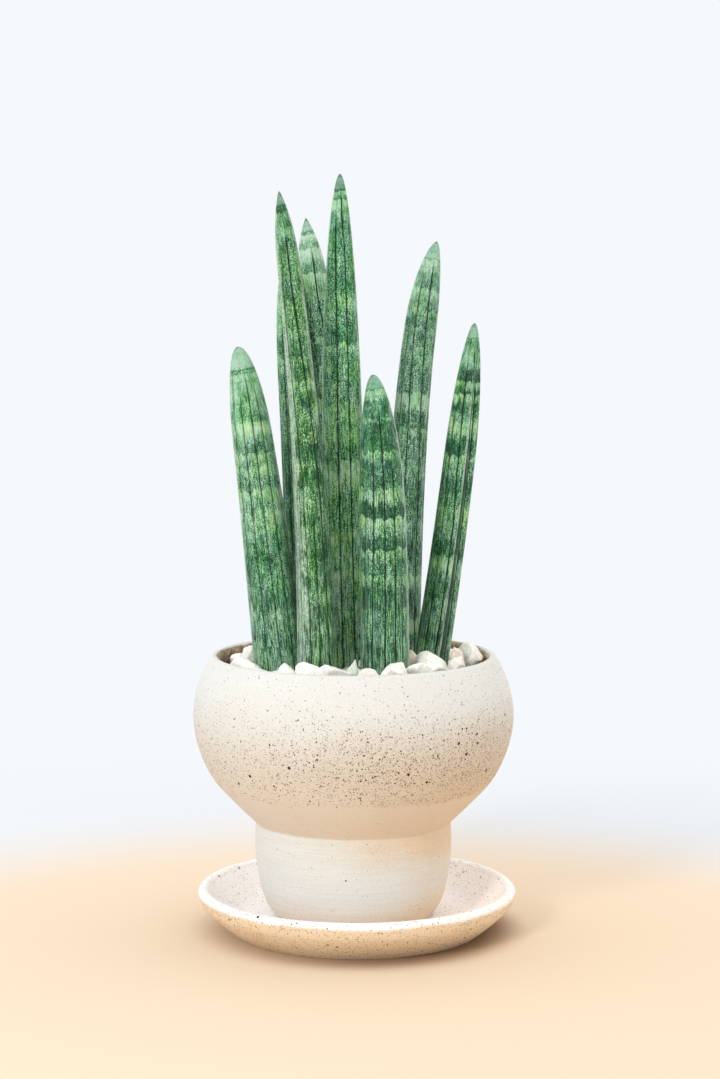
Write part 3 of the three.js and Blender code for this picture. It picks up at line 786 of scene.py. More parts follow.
def groove_tracks(name, length):
    """Every groove's start, darkness and angles at distances down, with more grooves to fill the far side."""
    count, drawn = GROOVES[name]
    tracks = []
    for start, dark, points in drawn:
        tracks.append((start, dark, [point[0] for point in points], [point[1] for point in points]))
    hidden = count - len(drawn)
    filled = []
    for index in range(hidden):
        share = (index + 1) / (hidden + 1)
        downs = [0, length / 3, 2 * length / 3, length]
        angles = []
        for down in downs:
            last = np.interp(down, tracks[-1][2], tracks[-1][3])
            first = np.interp(down, tracks[0][2], tracks[0][3]) + 360
            angles.append(last + (first - last) * share)
        start = 14 + 17 * ((index * 5) % 4)
        filled.append((start, 0.65 + 0.1 * (index % 4), downs, angles))
    return tracks + filled


def strength_of(stretches, angle, down):
    """How strong the strongest of the stretches is at an angle and distance down."""
    most = 0
    for at, half_width, start, end, amount in stretches:
        from_middle = abs((angle - at + 180) % 360 - 180) / half_width
        side = max(1 - from_middle ** 2, 0)
        begun = min(max((down - start + 15) / 30, 0), 1) if start else 1
        ended = min(max((end + 20 - down) / 40, 0), 1)
        most = max(most, amount * side * begun * ended)
    return most


def leaf_frame(course, down):
    """The middle of the leaf at a distance down, and the directions across it and to its back."""
    points, distances, directions = course
    on_line = min(down, distances[-1])
    centre = np.array([np.interp(on_line, distances, points[:, axis]) for axis in range(3)])
    along = np.array([np.interp(on_line, distances, directions[:, axis]) for axis in range(3)])
    along /= np.linalg.norm(along)
    centre = centre - along * max(down - distances[-1], 0)
    across = np.array([1.0, 0, 0]) - along * along[0]
    across /= np.linalg.norm(across)
    return centre, across, np.cross(along, across)


def leaf_radius(leaf, down, length, buried):
    """The leaf's plain radius, which tapers off at the tip and thins a little in the soil."""
    plain = leaf["tip_radius"] + (leaf["root_radius"] - leaf["tip_radius"]) * min(down / length, 1)
    to_taper = 1 - min(down / leaf["taper"], 1)
    plain *= (1 - to_taper ** 2) ** leaf["bluntness"]
    return plain * (1 - 0.12 * buried)


def leaf_sheet(leaf, name):
    """The sheet to roll, by row and column: each point's place, its place on a straightened leaf, its rib
    count and distance down, how dark the groove is, wax with a painted sheen (below nothing where painted
    shade falls) and distance to the groove."""
    course = leaf_course(leaf)
    length = course[1][-1]
    tracks = groove_tracks(name, length)
    count = len(tracks)
    columns = count * len(COLUMN_PHASES)
    downs = [length * (row / ROWS) ** TIP_CROWDING for row in range(ROWS + 1)]
    downs += [length + 9, length + BURIED_DEPTH - 3, length + BURIED_DEPTH, length + BURIED_DEPTH]
    sheet = {}
    for value, width in (("place", 3), ("skin", 3), ("ribs", 2), ("line", 1), ("wax_and_painted_light", 1), ("gap", 1)):
        sheet[value] = np.zeros((len(downs), columns + 1, width))
    for row, down in enumerate(downs):
        centre, across, deep = leaf_frame(course, down)
        buried = min(max((down - length) / BURIED_DEPTH, 0), 1)
        plain = leaf_radius(leaf, down, length, buried)
        fade_in = min(down / GROOVE_RUN_IN, 1) * (1 - buried)
        for column in range(columns + 1):
            groove, part = divmod(column, len(COLUMN_PHASES))
            phase = COLUMN_PHASES[part]
            here = tracks[groove % count]
            beyond = tracks[(groove + 1) % count]
            near = np.interp(down, here[2], here[3]) + 360 * (groove // count)
            far = np.interp(down, beyond[2], beyond[3]) + 360 * ((groove + 1) // count)
            angle = near + (far - near) * phase
            from_channel = abs((angle - leaf["channel"] + 180) % 360 - 180)
            channel = math.cos(min(from_channel / CHANNEL_HALF_WIDTH, 1) * math.pi / 2)
            owner = here if phase < 0.5 else beyond
            depth = COLUMN_DEPTHS[part] * GROOVE_DEPTH * (0.55 + 0.45 * owner[1])
            radius = plain - (depth + leaf["channel_depth"] * channel) * fade_in
            if row in (0, len(downs) - 1):
                radius = 0
            flat = (radius * math.cos(math.radians(angle)), radius * math.sin(math.radians(angle)))
            started = min(max((down - owner[0]) / LINE_RUN_IN, 0), 1)
            dark = owner[1] if phase != 0.5 else 0.5 * (here[1] + beyond[1])
            # Stretches of wax with a painted sheen, less the stretches of painted shade
            wax_and_painted_light = strength_of(LEAF_LOOKS[name]["wax_and_painted_light"], angle, down)
            shade = strength_of(LEAF_LOOKS[name]["shade"], angle, down)
            sheet["place"][row, column] = centre + across * flat[0] + deep * flat[1]
            sheet["skin"][row, column] = (*flat, down)
            sheet["ribs"][row, column] = (groove + phase, down)
            sheet["line"][row, column] = dark * started
            sheet["wax_and_painted_light"][row, column] = wax_and_painted_light - shade
            sheet["gap"][row, column] = min(phase, 1 - phase) * math.radians(far - near) * plain
    return sheet


def make_leaf(name):
    """Rolls a flat sheet into the grooved spear, closes its seam and ends, and smooths it."""
    sheet = leaf_sheet(LEAVES[name], name)
    rows, columns = np.array(sheet["line"].shape[:2]) - 1
    bpy.ops.object.select_all(action="DESELECT")
    bpy.ops.mesh.primitive_grid_add(x_subdivisions=int(columns), y_subdivisions=int(rows), size=2)
    piece = bpy.context.object
    piece.name = "fine_" + name
    piece.data.name = piece.name
    mesh = piece.data
    flat = np.zeros(len(mesh.vertices) * 3)
    mesh.vertices.foreach_get("co", flat)
    flat = flat.reshape(-1, 3)
    column = np.rint((flat[:, 0] + 1) / 2 * columns).astype(int)
    row = np.rint((1 - flat[:, 1]) / 2 * rows).astype(int)
    places = sheet["place"][row, column] + np.array([POT_X, 0, 0])
    mesh.vertices.foreach_set("co", (places * MM).ravel())
    corner_vertices = np.zeros(len(mesh.loops), int)
    mesh.loops.foreach_get("vertex_index", corner_vertices)
    mesh.uv_layers[0].name = "ribs"
    mesh.uv_layers[0].data.foreach_set("uv", sheet["ribs"][row, column][corner_vertices].ravel())
    skin = mesh.attributes.new("skin", "FLOAT_VECTOR", "POINT")
    skin.data.foreach_set("vector", sheet["skin"][row, column].ravel())
    for attribute in ("line", "wax_and_painted_light", "gap"):
        made = mesh.attributes.new(attribute, "FLOAT", "POINT")
        made.data.foreach_set("value", sheet[attribute][row, column].ravel())
    bpy.ops.object.mode_set(mode="EDIT")
    bpy.ops.mesh.select_all(action="SELECT")
    bpy.ops.mesh.remove_doubles(threshold=MERGE_DISTANCE)
    bpy.ops.mesh.select_all(action="SELECT")
    bpy.ops.mesh.normals_make_consistent(inside=False)
    bpy.ops.object.mode_set(mode="OBJECT")
    rounder = piece.modifiers.new("rounder", "SUBSURF")
    rounder.levels = 2
    rounder.render_levels = 2
    rounder.uv_smooth = "NONE"
    select_only(piece)
    bpy.ops.object.modifier_apply(modifier="rounder")
    bpy.ops.object.shade_smooth()
    return piece


def make_band_place():
    """Where a spot counts as lying down the leaf, so that the edges of the bands come out ragged: bowed on
    each rib and stepped from rib to rib, and in the second place also drawn out in streaks."""
    group, start, end = new_group("band place", [
        ("Skin", "Vector", None), ("Rib", "Float", 0.0), ("Down", "Float", 0.0), ("Length", "Float", 250.0),
        ("Turn", "Float", 0.0),
    ], [("Place", "Float"), ("Drawn", "Float")])
    rib_number = calc(group, "FLOOR", start["Rib"])
    step = put(group, "TexWhiteNoise", {"W": total(group, rib_number, start["Turn"])}, noise_dimensions="1D")
    off_crown = calc(group, "MULTIPLY_ADD", calc(group, "FRACT", start["Rib"]), 2.0, -1.0)
    crown = calc(group, "SUBTRACT", 1.0, product(group, off_crown, off_crown))
    streaks = cloud(group, stretch(group, start["Skin"], (1.3, 1.3, 0.22)), 1.0, 2.0, 0.6)
    waves = cloud(group, stretch(group, start["Skin"], (0.14, 0.14, 0.05)), 1.0, 1.0)
    flecks = cloud(group, stretch(group, start["Skin"], (2.0, 2.0, 1.0)), 1.0, 1.0)
    calm = fade(group, start["Down"], 4.0, 60.0, 0.3, 1.0)
    shift = total(
        group, product(group, crown, 2.4), calc(group, "MULTIPLY_ADD", step.outputs["Value"], 1.4, -1.9),
        swing(group, streaks, 3.2), swing(group, flecks, 3.0), swing(group, waves, 7.0),
    )
    place = calc(group, "MULTIPLY_ADD", shift, calm, start["Down"])
    drawn = total(group, place, product(group, fade(group, streaks, 0.35, 0.7, 0.0, 5.0), calm))
    group.links.new(calc(group, "DIVIDE", place, start["Length"]), end["Place"])
    group.links.new(calc(group, "DIVIDE", drawn, start["Length"]), end["Drawn"])
    return group


def skin_clouds(group, skin):
    """The noises of the skin, from fine grain to wide patches, most of them drawn out along the leaf."""
    makings = {
        "fleck": ((1.3, 1.3, 0.6), 1.0, 0.65), "fine": ((1.9, 1.9, 1.6), 1.0, 0.6),
        "fibre": ((3.4, 3.4, 0.2), 1.0, 0.6), "streak": ((2.0, 2.0, 0.1), 2.0, 0.6),
        "broken": ((0.5, 0.5, 0.12), 1.0, 0.5), "blotch": ((0.24, 0.24, 0.09), 3.0, 0.55),
        "drift": ((0.2, 0.2, 0.08), 1.0, 0.5), "patch": ((0.13, 0.13, 0.05), 2.0, 0.5),
    }
    clouds = {}
    for name, (drawn_out, detail, roughness) in makings.items():
        clouds[name] = cloud(group, stretch(group, skin, drawn_out), 1.0, detail, roughness)
    return clouds


def mottled_tone(group, start, clouds):
    """The band's tone with grain, fibres, streaks and blotches round it, calmer in light and dark bands."""
    calm = product(
        group, fade(group, start["Tone"], 0.45, 0.85, 1.0, 0.35),
        fade(group, start["Tone"], 0.1, 0.35, 0.65, 1.0),
    )
    flecks = fade(group, clouds["fleck"], 0.4, 0.6, -0.18, 0.18)
    grained = product(
        group, total(group, flecks, fade(group, clouds["fine"], 0.42, 0.58, -0.38, 0.38)), start["Grain"],
        fade(group, start["Down"], 60.0, 200.0, 1.0, 0.8), fade(group, start["Down"], 8.0, 70.0, 0.4, 1.0),
    )
    fibres = fade(group, clouds["fibre"], 0.38, 0.62, -0.16, 0.16)
    drawn = product(
        group, total(group, fibres, fade(group, clouds["streak"], 0.34, 0.66, -0.14, 0.14)),
        fade(group, start["Down"], 40.0, 200.0, 0.8, 1.4),
    )
    spread = calc(group, "MULTIPLY_ADD", grained, calm, drawn)
    spread = total(group, spread, fade(group, clouds["blotch"], 0.32, 0.68, -0.16, 0.16))
    return calc(group, "ADD", calc(group, "MULTIPLY_ADD", start["Tone"], 0.82, 0.08), spread, clamp=True)


def skin_green(group, start, clouds, tone):
    """The green for the tone, yellower in patches and light bands, and paler in streaks near the stones."""
    green = ramp(group, tone, [
        (0.0, paint(20, 58, 37)), (0.25, paint(46, 105, 71)), (0.5, paint(90, 156, 110)),
        (0.75, paint(140, 190, 146)), (1.0, paint(186, 216, 188)),
    ])
    yellower = ramp(group, tone, [
        (0.0, paint(26, 62, 34)), (0.25, paint(52, 106, 60)), (0.5, paint(94, 154, 84)),
        (0.75, paint(144, 190, 122)), (1.0, paint(188, 218, 162)),
    ])
    in_light_bands = product(
        group, fade(group, start["Tone"], 0.35, 0.8, -0.15, 0.3),
        fade(group, start["Down"], 15.0, 60.0, 0.1, 1.0),
    )
    in_patches = fade(group, clouds["patch"], 0.35, 0.65, -0.3, 0.5)
    yellow = total(group, in_patches, start["Yellow"], in_light_bands)
    yellow = calc(group, "MULTIPLY", yellow, fade(group, start["Down"], 5.0, 40.0, 0.3, 1.0), clamp=True)
    richer = fade(group, clouds["patch"], 0.3, 0.7, 0.92, 1.16)
    hued = put(group, "HueSaturation", {
        "Hue": total(group, start["Hue"], fade(group, clouds["drift"], 0.3, 0.7, -0.014, 0.014)),
        "Saturation": product(group, start["Saturation"], richer),
        "Color": blend(group, yellow, green, yellower),
    })
    frost = product(group, fade(group, clouds["streak"], 0.48, 0.62, 0.0, 0.55), start["Foot"])
    return blend(group, frost, hued.outputs[0], paint(176, 202, 178))


def with_wax_and_painted_light(group, start, clouds, colour):
    """The colour deepened by painted shade where the flank is shaded, and paled in ragged patches where it
    is waxy, the wax partly a painted sheen.
    """
    # Painted shade: the flank deepened towards dark green
    colour = blend(group, fade(group, start["Wax And Painted Light"], -0.7, -0.02, 0.75, 0.0), colour, paint(24, 50, 36))
    reach = total(
        group, start["Wax And Painted Light"], swing(group, clouds["blotch"], 1.5), swing(group, clouds["streak"], 1.0))
    mottle = total(group, product(group, clouds["fibre"], 0.5), product(group, clouds["fleck"], 0.5))
    mask = product(
        group, fade(group, reach, 0.2, 0.8), fade(group, start["Wax And Painted Light"], 0.0, 0.2),
        fade(group, mottle, 0.4, 0.6, 0.25, 0.92),
    )
    # Pale wax with a painted sheen
    wax_and_painted_light = ramp(group, clouds["fine"], [(0.35, paint(160, 188, 162)), (0.65, paint(206, 222, 206))])
    return blend(group, mask, colour, wax_and_painted_light)


def capped(group, start, clouds, colour):
    """The grey cap, a ring at its edge and a fainter one half as far again down."""
    edge = total(group, start["Down"], swing(group, clouds["blotch"], 5.0))
    grey = ramp(group, clouds["fine"], [(0.3, paint(112, 148, 132)), (0.7, paint(160, 192, 172))])
    within = fade(group, calc(group, "DIVIDE", edge, start["Cap"]), 0.85, 1.0, 0.5, 0.0)
    colour = blend(group, within, colour, grey)
    for ring_at, ring_depth in ((1.0, 0.52), (1.5, 0.3)):
        past_ring = calc(group, "SUBTRACT", edge, product(group, start["Cap"], ring_at))
        ring = fade(group, calc(group, "ABSOLUTE", past_ring), 0.15, 0.72, ring_depth, 0.0)
        colour = blend(group, ring, colour, paint(44, 84, 66))
    return colour


def groove_line(group, start, clouds):
    """How strongly the dark line in the groove shows, which swells and thins along the leaf."""
    half_width = fade(group, clouds["broken"], 0.3, 0.7, 0.24, 0.38)
    core = calc(group, "DIVIDE", start["Gap"], half_width)
    return product(group, fade(group, core, 0.6, 1.25, 1.0, 0.0), start["Line"])


def lined(group, start, clouds, colour, line):
    """The groove lines with a shadow beside them, and broken thin lines half way between two of them."""
    shadow = product(group, fade(group, start["Gap"], 0.2, 1.1, 0.3, 0.0), start["Line"])
    colour = blend(group, shadow, colour, paint(24, 62, 46))
    colour = blend(group, product(group, line, 0.97), colour, paint(7, 31, 23))
    off_middle = calc(group, "ABSOLUTE", calc(group, "SUBTRACT", calc(group, "FRACT", start["Rib"]), 0.5))
    rib_width = calc(group, "DIVIDE", start["Gap"], calc(group, "SUBTRACT", 0.501, off_middle))
    thin = product(
        group, fade(group, product(group, off_middle, rib_width), 0.08, 0.3, 0.7, 0.0),
        fade(group, clouds["broken"], 0.42, 0.56), fade(group, start["Down"], 60.0, 150.0),
    )
    return blend(group, thin, colour, paint(16, 50, 38))


def scratched(group, skin, colour):
    """A few short pale scratches."""
    nicks = put(group, "TexVoronoi", {"Vector": stretch(group, skin, (0.42, 0.42, 0.16)), "Scale": 1.0})
    chance = put(group, "SeparateColor", {0: nicks.outputs["Color"]})
    scratch = product(
        group, calc(group, "GREATER_THAN", chance.outputs[0], 0.93),
        fade(group, nicks.outputs["Distance"], 0.06, 0.13, 1.0, 0.0), 0.75,
    )
    return blend(group, scratch, colour, paint(210, 226, 212))


def dryness(group, start, clouds):
    """How dry the leaf is, right at its tip."""
    edge = calc(group, "MULTIPLY_ADD", clouds["fleck"], 4.0, calc(group, "SUBTRACT", start["Down"], 2.0))
    dry = calc(group, "SUBTRACT", 1.0, calc(group, "DIVIDE", edge, start["Dry"]), clamp=True)
    return fade(group, dry, 0.05, 0.45)


def make_leaf_skin():
    """The mottled skin: bands, wax with a painted sheen and painted shade, grey cap, groove lines,
    scratches and the dry point.
    """
    group, start, end = new_group("leaf skin", [
        ("Skin", "Vector", None), ("Rib", "Float", 0.0), ("Down", "Float", 0.0), ("Tone", "Float", 0.5),
        ("Gap", "Float", 3.0), ("Line", "Float", 1.0), ("Wax And Painted Light", "Float", 0.0), ("Cap", "Float", 9.0),
        ("Dry", "Float", 2.0), ("Foot", "Float", 0.0), ("Hue", "Float", 0.5), ("Saturation", "Float", 1.0),
        ("Yellow", "Float", 0.0), ("Grain", "Float", 1.0),
    ], [("Color", "Color"), ("Height", "Float"), ("Roughness", "Float")])
    clouds = skin_clouds(group, start["Skin"])
    tone = mottled_tone(group, start, clouds)
    line = groove_line(group, start, clouds)
    dry = dryness(group, start, clouds)
    colour = skin_green(group, start, clouds, tone)
    colour = with_wax_and_painted_light(group, start, clouds, colour)
    colour = capped(group, start, clouds, colour)
    colour = lined(group, start, clouds, colour, line)
    colour = scratched(group, start["Skin"], colour)
    dry_colour = ramp(group, clouds["fine"], [(0.35, paint(62, 78, 74)), (0.65, paint(146, 160, 154))])
    group.links.new(blend(group, dry, colour, dry_colour), end["Color"])
    height = calc(group, "MULTIPLY_ADD", line, -1.0, product(group, clouds["streak"], 0.8))
    group.links.new(calc(group, "MULTIPLY_ADD", clouds["fine"], 0.35, height), end["Height"])
    rough = total(group, fade(group, tone, 0.2, 0.8, 0.42, 0.52), product(group, dry, 0.35))
    group.links.new(rough, end["Roughness"])
    return group


BAND_PLACE = make_band_place()
LEAF_SKIN = make_leaf_skin()


def make_leaf_material(name):
    """The leaf's own bands and green in the shared skin."""
    looks = LEAF_LOOKS[name]
    material, tree, shader = new_material("skin_of_" + name)
    length = leaf_course(LEAVES[name])[1][-1]
    banded_length = length * 1.1
    ribs = put(tree, "UVMap", uv_map="ribs")
    rib, down, _ = axes(tree, ribs.outputs[0])
    given = {}
    for attribute in ("skin", "line", "wax_and_painted_light", "gap"):
        given[attribute] = put(tree, "Attribute", attribute_name=attribute).outputs
    skin = given["skin"]["Vector"]
    place = use_group(tree, BAND_PLACE, {
        "Skin": skin, "Rib": rib, "Down": down, "Length": banded_length, "Turn": float(len(name)),
    })
    stops = []
    for start, tone in BANDS[name]:
        stops.append((min(start / banded_length, 1), (tone, tone, tone, 1)))
    upper_edges = ramp(tree, place[0], stops, "CONSTANT")
    lower_edges = ramp(tree, place[1], stops, "CONSTANT")
    band_tone = calc(tree, "MINIMUM", upper_edges, lower_edges)
    # The lift along the leaf is partly painted light that offsets the shade falling on the lower leaves
    tone = total(tree, band_tone, fade(tree, down, 0.0, length, *looks["lift"]))
    parts = use_group(tree, LEAF_SKIN, {
        "Skin": skin, "Rib": rib, "Down": down, "Gap": given["gap"]["Fac"], "Line": given["line"]["Fac"],
        "Wax And Painted Light": given["wax_and_painted_light"]["Fac"], "Tone": tone, "Cap": float(looks["cap"]), "Dry": float(looks["dry"]),
        "Foot": fade(tree, down, length - 75, length - 5), "Hue": looks["hue"],
        "Saturation": looks["saturation"], "Yellow": looks["yellow"], "Grain": looks["grain"],
    })
    tree.links.new(parts["Color"], shader["Base Color"])
    tree.links.new(parts["Roughness"], shader["Roughness"])
    shader["Specular IOR Level"].default_value = 0.18
    shader["Sheen Weight"].default_value = 0.5
    shader["Sheen Roughness"].default_value = 0.25
    shader["Sheen Tint"].default_value = (0.9, 1.0, 0.94, 1)
    relief(tree, shader, parts["Height"], 0.6, 0.25)
    return material


for leaf_name in LEAVES:
    spear = make_leaf(leaf_name)
    finish_piece(spear, make_leaf_material(leaf_name), [leaf_name])

# Pebbles


def seeded_draws(seed):
    """The same draws in the same order as the part's source makes."""
    state = [seed]

    def draw(low, high):
        state[0] = (state[0] * 1664525 + 1013904223) % 4294967296
        return low + (high - low) * (state[0] / 4294967296)

    return draw


def bed_height(radius):
    """The top of the gravel layer, which falls away towards the wall."""
    outer = inside(smooth(FOOT_CURVE, 10) + smooth(BOWL_CURVE, 10)[1:], POT_WALL + 0.3)[-1][0]
    return BED_CROWN - (BED_CROWN - BED_EDGE) * (radius / outer) ** BED_ROUNDNESS


def leaf_feet():
    """The middle and radius of each leaf where it leaves the stones."""
    feet = []
    for leaf in LEAVES.values():
        points, distances, _ = leaf_course(leaf)
        down = distances[-1] * 0.97
        x, y = [np.interp(down, distances, points[:, axis]) for axis in (0, 1)]
        feet.append((x, y, leaf["root_radius"]))
    return feet


def spiral_place(index, count, reach, turn):
    """A place on an evenly filled spiral."""
    radius = reach * math.sqrt((index + 0.5) / count)
    angle = index * GOLDEN_ANGLE + turn
    return radius * math.cos(angle), radius * math.sin(angle)


def on_shown_stone(x, y, long):
    """Whether a stone of the spiral would lie on one of the shown ones."""
    for at, half, _, _, _ in SHOWN_STONES:
        if math.hypot(x - at[0], y - at[1]) < 0.62 * (long + (half[0] + half[1]) / 2):
            return True
    return False


def spiral_stones():
    """The rest of the layer, evenly spaced with gaps for the leaves and the shown stones, and lower between
    leaves that stand close."""
    draw = seeded_draws(41)
    feet = leaf_feet()
    stones = []
    for index in range(SPIRAL_STONES):
        x, y = spiral_place(index, SPIRAL_STONES, SPIRAL_RADIUS, 0)
        x += draw(-1.4, 1.4)
        y += draw(-1.4, 1.4)
        long = draw(5.2, 7.8)
        half = (long, long * draw(0.74, 0.98), long * draw(0.62, 0.84))
        turn = draw(0, math.pi)
        lean = draw(-0.35, 0.35)
        height = bed_height(math.hypot(x, y)) + draw(0.1, 0.5) * half[2]
        gaps = [math.hypot(x - foot_x, y - foot_y) - size for foot_x, foot_y, size in feet]
        height -= NARROW_DROP if sum(gap < 10 for gap in gaps) > 2 else 0
        if min(gaps) >= 0.5 * long and not on_shown_stone(x, y, long):
            stones.append(((x, y, height), half, turn, lean))
    return stones


def chisel_stone(seed, subdivisions, facets):
    """A round lump with seeded flats cut off it, its edges worn down."""
    bpy.ops.object.select_all(action="DESELECT")
    bpy.ops.mesh.primitive_ico_sphere_add(subdivisions=subdivisions, radius=1)
    stone = bpy.context.object
    draw = seeded_draws(seed)
    mesh = stone.data
    places = np.zeros(len(mesh.vertices) * 3)
    mesh.vertices.foreach_get("co", places)
    places = places.reshape(-1, 3)
    for _ in range(facets):
        height = draw(-1, 1)
        turn = draw(0, math.tau)
        level = math.sqrt(max(1 - height * height, 0))
        normal = np.array([level * math.cos(turn), level * math.sin(turn), height])
        reach = places @ normal
        places -= np.outer(np.maximum(reach - draw(0.56, 0.86), 0), normal)
    mesh.vertices.foreach_set("co", places.ravel())
    bpy.ops.object.mode_set(mode="EDIT")
    bpy.ops.mesh.select_all(action="SELECT")
    bpy.ops.mesh.vertices_smooth(factor=0.5, repeat=2 * subdivisions - 5)
    bpy.ops.object.mode_set(mode="OBJECT")
    mesh.vertices.foreach_get("co", places.ravel())
    worn = np.zeros(len(mesh.vertices) * 3)
    mesh.vertices.foreach_get("co", worn)
    worn = worn.reshape(-1, 3)
    shift = Vector((seed * 1.7, seed * 0.3, seed * 2.9))
    for index, place in enumerate(worn):
        spot = Vector(place)
        rough = 0.09 * noise.noise(spot * 1.8 + shift) + 0.03 * noise.noise(spot * 5 + shift)
        worn[index] = place * (1 + rough)
    worn -= (worn.max(axis=0) + worn.min(axis=0)) / 2
    worn /= worn.max(axis=0)
    bpy.ops.object.delete()
    return worn


def place_stone(kinds, subdivisions, index, centre, half, turn, lean, tint):
    """A copy of one of the chiselled stones, set in its place. The greenest one is drawn up to a point."""
    bpy.ops.object.select_all(action="DESELECT")
    bpy.ops.mesh.primitive_ico_sphere_add(subdivisions=subdivisions, radius=1)
    stone = bpy.context.object
    places = kinds[index % len(kinds)].copy()
    if tint <= POINTED_TINT:
        rise = np.maximum(places[:, 2:] + 0.2, 0)
        places[:, :2] = places[:, :2] * (1 - 0.72 * rise) + rise * np.array([0.5, 0])
    places *= np.array(half)
    y = places[:, 1] * math.cos(lean) - places[:, 2] * math.sin(lean)
    z = places[:, 1] * math.sin(lean) + places[:, 2] * math.cos(lean)
    x = places[:, 0] * math.cos(turn) - y * math.sin(turn)
    y = places[:, 0] * math.sin(turn) + y * math.cos(turn)
    set_places = np.stack([x + centre[0] + POT_X, y + centre[1], z + centre[2]], axis=1)
    stone.data.vertices.foreach_set("co", (set_places * MM).ravel())
    made = stone.data.attributes.new("tint", "FLOAT", "POINT")
    made.data.foreach_set("value", np.full(len(stone.data.vertices), tint))
    return stone


def make_pebbles():
    """Every stone of the layer in one piece: the shown ones, the spiral and a lower layer under its gaps."""
    large_kinds = [chisel_stone(seed, 5, 16) for seed in (3, 11, 27, 38, 52, 64)]
    small_kinds = [chisel_stone(seed, 4, 13) for seed in (5, 17, 23, 31, 47, 59)]
    low_kinds = [chisel_stone(seed, 3, 9) for seed in (9, 21, 33)]
    stones = []
    for index, (at, half, turn, top, tint) in enumerate(SHOWN_STONES):
        centre = (*at, top - half[2])
        stones.append(place_stone(large_kinds, 5, index, centre, half, math.radians(turn), 0, tint))
    draw = seeded_draws(77)
    for index, (centre, half, turn, lean) in enumerate(spiral_stones()):
        stones.append(place_stone(small_kinds, 4, index, centre, half, turn, lean, draw(0.3, 0.9)))
    feet = leaf_feet()
    for index in range(LOW_STONES):
        x, y = spiral_place(index, LOW_STONES, LOW_RADIUS, 1.9)
        size = draw(5.0, 6.6)
        half = (size, size * 0.85, size * 0.7)
        turn = draw(0, math.pi)
        tint = draw(0.2, 0.7)
        if all(math.hypot(x - foot_x, y - foot_y) >= foot - 1 for foot_x, foot_y, foot in feet):
            centre = (x, y, bed_height(math.hypot(x, y)) - LOW_DROP)
            stones.append(place_stone(low_kinds, 3, index, centre, half, turn, 0, tint))
    bpy.ops.object.select_all(action="DESELECT")
    for stone in stones:
        stone.select_set(True)
    bpy.context.view_layer.objects.active = stones[0]
    bpy.ops.object.join()
    pebbles = bpy.context.object
    pebbles.name = "fine_pebbles"
    pebbles.data.name = "fine_pebbles"
    bpy.ops.object.shade_smooth()
    return pebbles


def make_pebble_material():
    """Chalky cream and grey stones, each with its own tint, with veins and dusty hollows."""
    material, tree, shader = new_material("chalky_pebbles")
    place = object_place(tree)
    tint = put(tree, "Attribute", attribute_name="tint")
    base = ramp(tree, tint.outputs["Fac"], [
        (0.1, paint(214, 226, 212)), (0.2, paint(240, 241, 234)), (0.4, paint(249, 248, 241)),
        (0.65, paint(252, 250, 243)), (0.85, paint(253, 252, 247)), (0.95, paint(244, 230, 208)),
        (1.0, paint(244, 228, 218)),
    ])
    patches = cloud(tree, place, 210.0, 4.0, 0.6)
    grain = cloud(tree, place, 1500.0, 2.0, 0.6)
    colour = blend(tree, fade(tree, patches, 0.5, 0.7, 0.0, 0.3), base, paint(214, 204, 180))
    colour = blend(tree, fade(tree, patches, 0.3, 0.44, 0.5, 0.0), colour, paint(250, 248, 240))
    off_vein = calc(tree, "ABSOLUTE", calc(tree, "SUBTRACT", cloud(tree, place, 120.0, 5.0, 0.7), 0.5))
    colour = blend(tree, fade(tree, off_vein, 0.0, 0.014, 0.4, 0.0), colour, paint(140, 124, 100))
    tree.links.new(vary(tree, colour, fade(tree, grain, 0.3, 0.7, 0.92, 1.05)), shader["Base Color"])
    shader["Roughness"].default_value = 0.72
    shader["Specular IOR Level"].default_value = 0.35
    relief(tree, shader, calc(tree, "MULTIPLY_ADD", patches, 1.5, product(tree, grain, 0.35)), 0.6, 0.5)
    return material


def make_soil_material():
    """Dark crumbly soil."""
    material, tree, shader = new_material("dark_soil")
    place = object_place(tree)
    crumbs = put(tree, "TexVoronoi", {"Vector": place, "Scale": 600.0})
    clods = cloud(tree, place, 160.0, 4.0, 0.65)
    colour = ramp(tree, clods, [
        (0.3, paint(46, 34, 26)), (0.55, paint(86, 66, 50)), (0.75, paint(122, 98, 76)),
    ])
    tree.links.new(colour, shader["Base Color"])
    shader["Roughness"].default_value = 0.95
    relief(tree, shader, total(tree, crumbs.outputs["Distance"], clods), 1.0, 1.2)
    return material


pebbles = make_pebbles()
finish_piece(pebbles, make_pebble_material(), ["pebbles"])

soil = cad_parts["soil"]
soil.data.materials.clear()
soil.data.materials.append(make_soil_material())

# Floor, light and camera

SKY = paint(245, 248, 252)
LIGHT_COLOUR = (1.0, 0.985, 0.965)


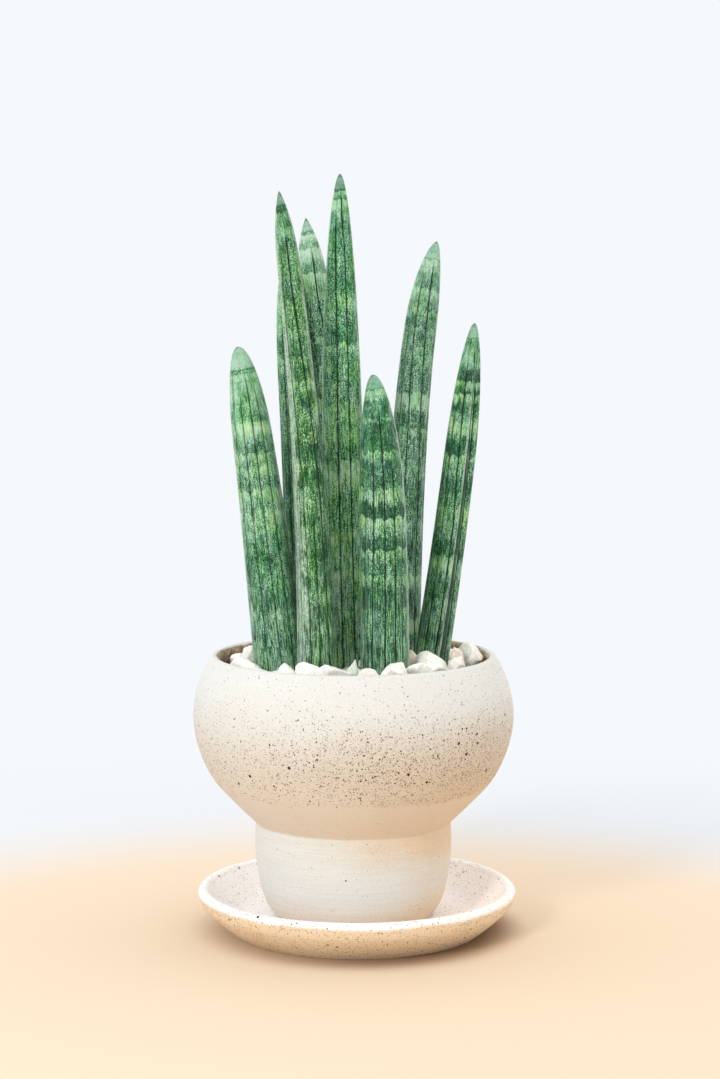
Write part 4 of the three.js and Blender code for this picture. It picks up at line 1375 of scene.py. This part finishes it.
def make_floor():
    """A plain pale floor, warmer round the pot, paling outwards, with a painted shadow that darkens it right
    beside the saucer, more on the right.
    """
    bpy.ops.object.select_all(action="DESELECT")
    bpy.ops.mesh.primitive_circle_add(vertices=96, radius=6, fill_type="TRIFAN", location=(0, 0, 0))
    floor = bpy.context.object
    floor.name = "plain_floor"
    material, tree, shader = new_material("pale_floor")
    place = object_place(tree)
    ahead = put(tree, "VectorMath", {0: place, 1: (0, 0.14, 0)}, operation="ADD")
    away = put(tree, "VectorMath", {0: ahead.outputs[0]}, operation="LENGTH").outputs["Value"]
    colour = blend(tree, fade(tree, away, 0.27, 0.5), paint(226, 205, 180), paint(214, 217, 222))
    # Painted shadow: the floor turns brown where the saucer covers it, more so on the right
    covered = put(tree, "AmbientOcclusion", {"Distance": 0.024}, samples=8)
    painted_saucer_shadow = product(
        tree, fade(tree, covered.outputs["AO"], 0.15, 0.85, 0.68, 0.0),
        fade(tree, axes(tree, place)[0], -0.09, 0.05, 0.35, 1.22),
    )
    tree.links.new(blend(tree, painted_saucer_shadow, colour, paint(126, 92, 64)), shader["Base Color"])
    shader["Roughness"].default_value = 0.9
    shader["Specular IOR Level"].default_value = 0.15
    haze = put(tree, "Emission", {"Color": SKY})
    mixed = put(tree, "MixShader", {
        0: fade(tree, away, 0.3, 0.75), 1: tree.nodes["Principled BSDF"].outputs[0], 2: haze.outputs[0],
    })
    tree.links.new(mixed.outputs[0], tree.nodes["Material Output"].inputs[0])
    floor.data.materials.append(material)


def make_world():
    """A pale studio, dimmer in front, brighter from above, and brighter and warmer from the right."""
    world = bpy.data.worlds.new("studio")
    bpy.context.scene.world = world
    world.use_nodes = True
    tree = world.node_tree
    tree.nodes.clear()
    seen = put(tree, "Background", {"Color": SKY, "Strength": 1.0})
    coords = put(tree, "TexCoord")
    across, back, up = axes(tree, coords.outputs["Generated"])
    side = fade(tree, across, -0.7, 0.9)
    strength = product(
        tree, fade(tree, back, -0.9, 0.4, 0.5, 1.05), fade(tree, up, 0.25, 0.95, 1.0, 1.4),
        fade(tree, side, 0.3, 1.0, 1.08, 1.25),
    )
    tint = blend(tree, side, (0.94, 0.97, 1.0, 1), (0.99, 0.965, 0.93, 1))
    light = put(tree, "Background", {"Color": tint, "Strength": strength})
    path = put(tree, "LightPath")
    both = put(tree, "MixShader", {
        0: path.outputs["Is Camera Ray"], 1: light.outputs[0], 2: seen.outputs[0],
    })
    put(tree, "OutputWorld", {"Surface": both.outputs[0]})


def soft_light(name, place, target, size, power):
    """A square soft light that faces a point."""
    bpy.ops.object.select_all(action="DESELECT")
    bpy.ops.object.light_add(type="AREA", location=place)
    light = bpy.context.object
    light.name = name
    light.data.size = size
    light.data.energy = power
    light.data.color = LIGHT_COLOUR
    light.rotation_euler = (Vector(target) - Vector(place)).to_track_quat("-Z", "Y").to_euler()


make_floor()
make_world()
soft_light("key_light", (-1.0, -1.6, 0.95), (0, 0, 0.15), 0.4, 16.5)
soft_light("front_light", (0.95, -2.3, 0.55), (0, 0, 0.12), 0.8, 6.4)

bpy.ops.object.select_all(action="DESELECT")
bpy.ops.object.camera_add(location=(0.00175, -1.4582, 0.3810), rotation=(math.radians(83.991), 0, 0))
camera = bpy.context.object
camera.name = "photo_camera"
camera.data.lens = 85
camera.data.sensor_width = 36
camera.data.clip_end = 50
bpy.context.scene.camera = camera
bpy.context.scene.view_settings.view_transform = "Standard"
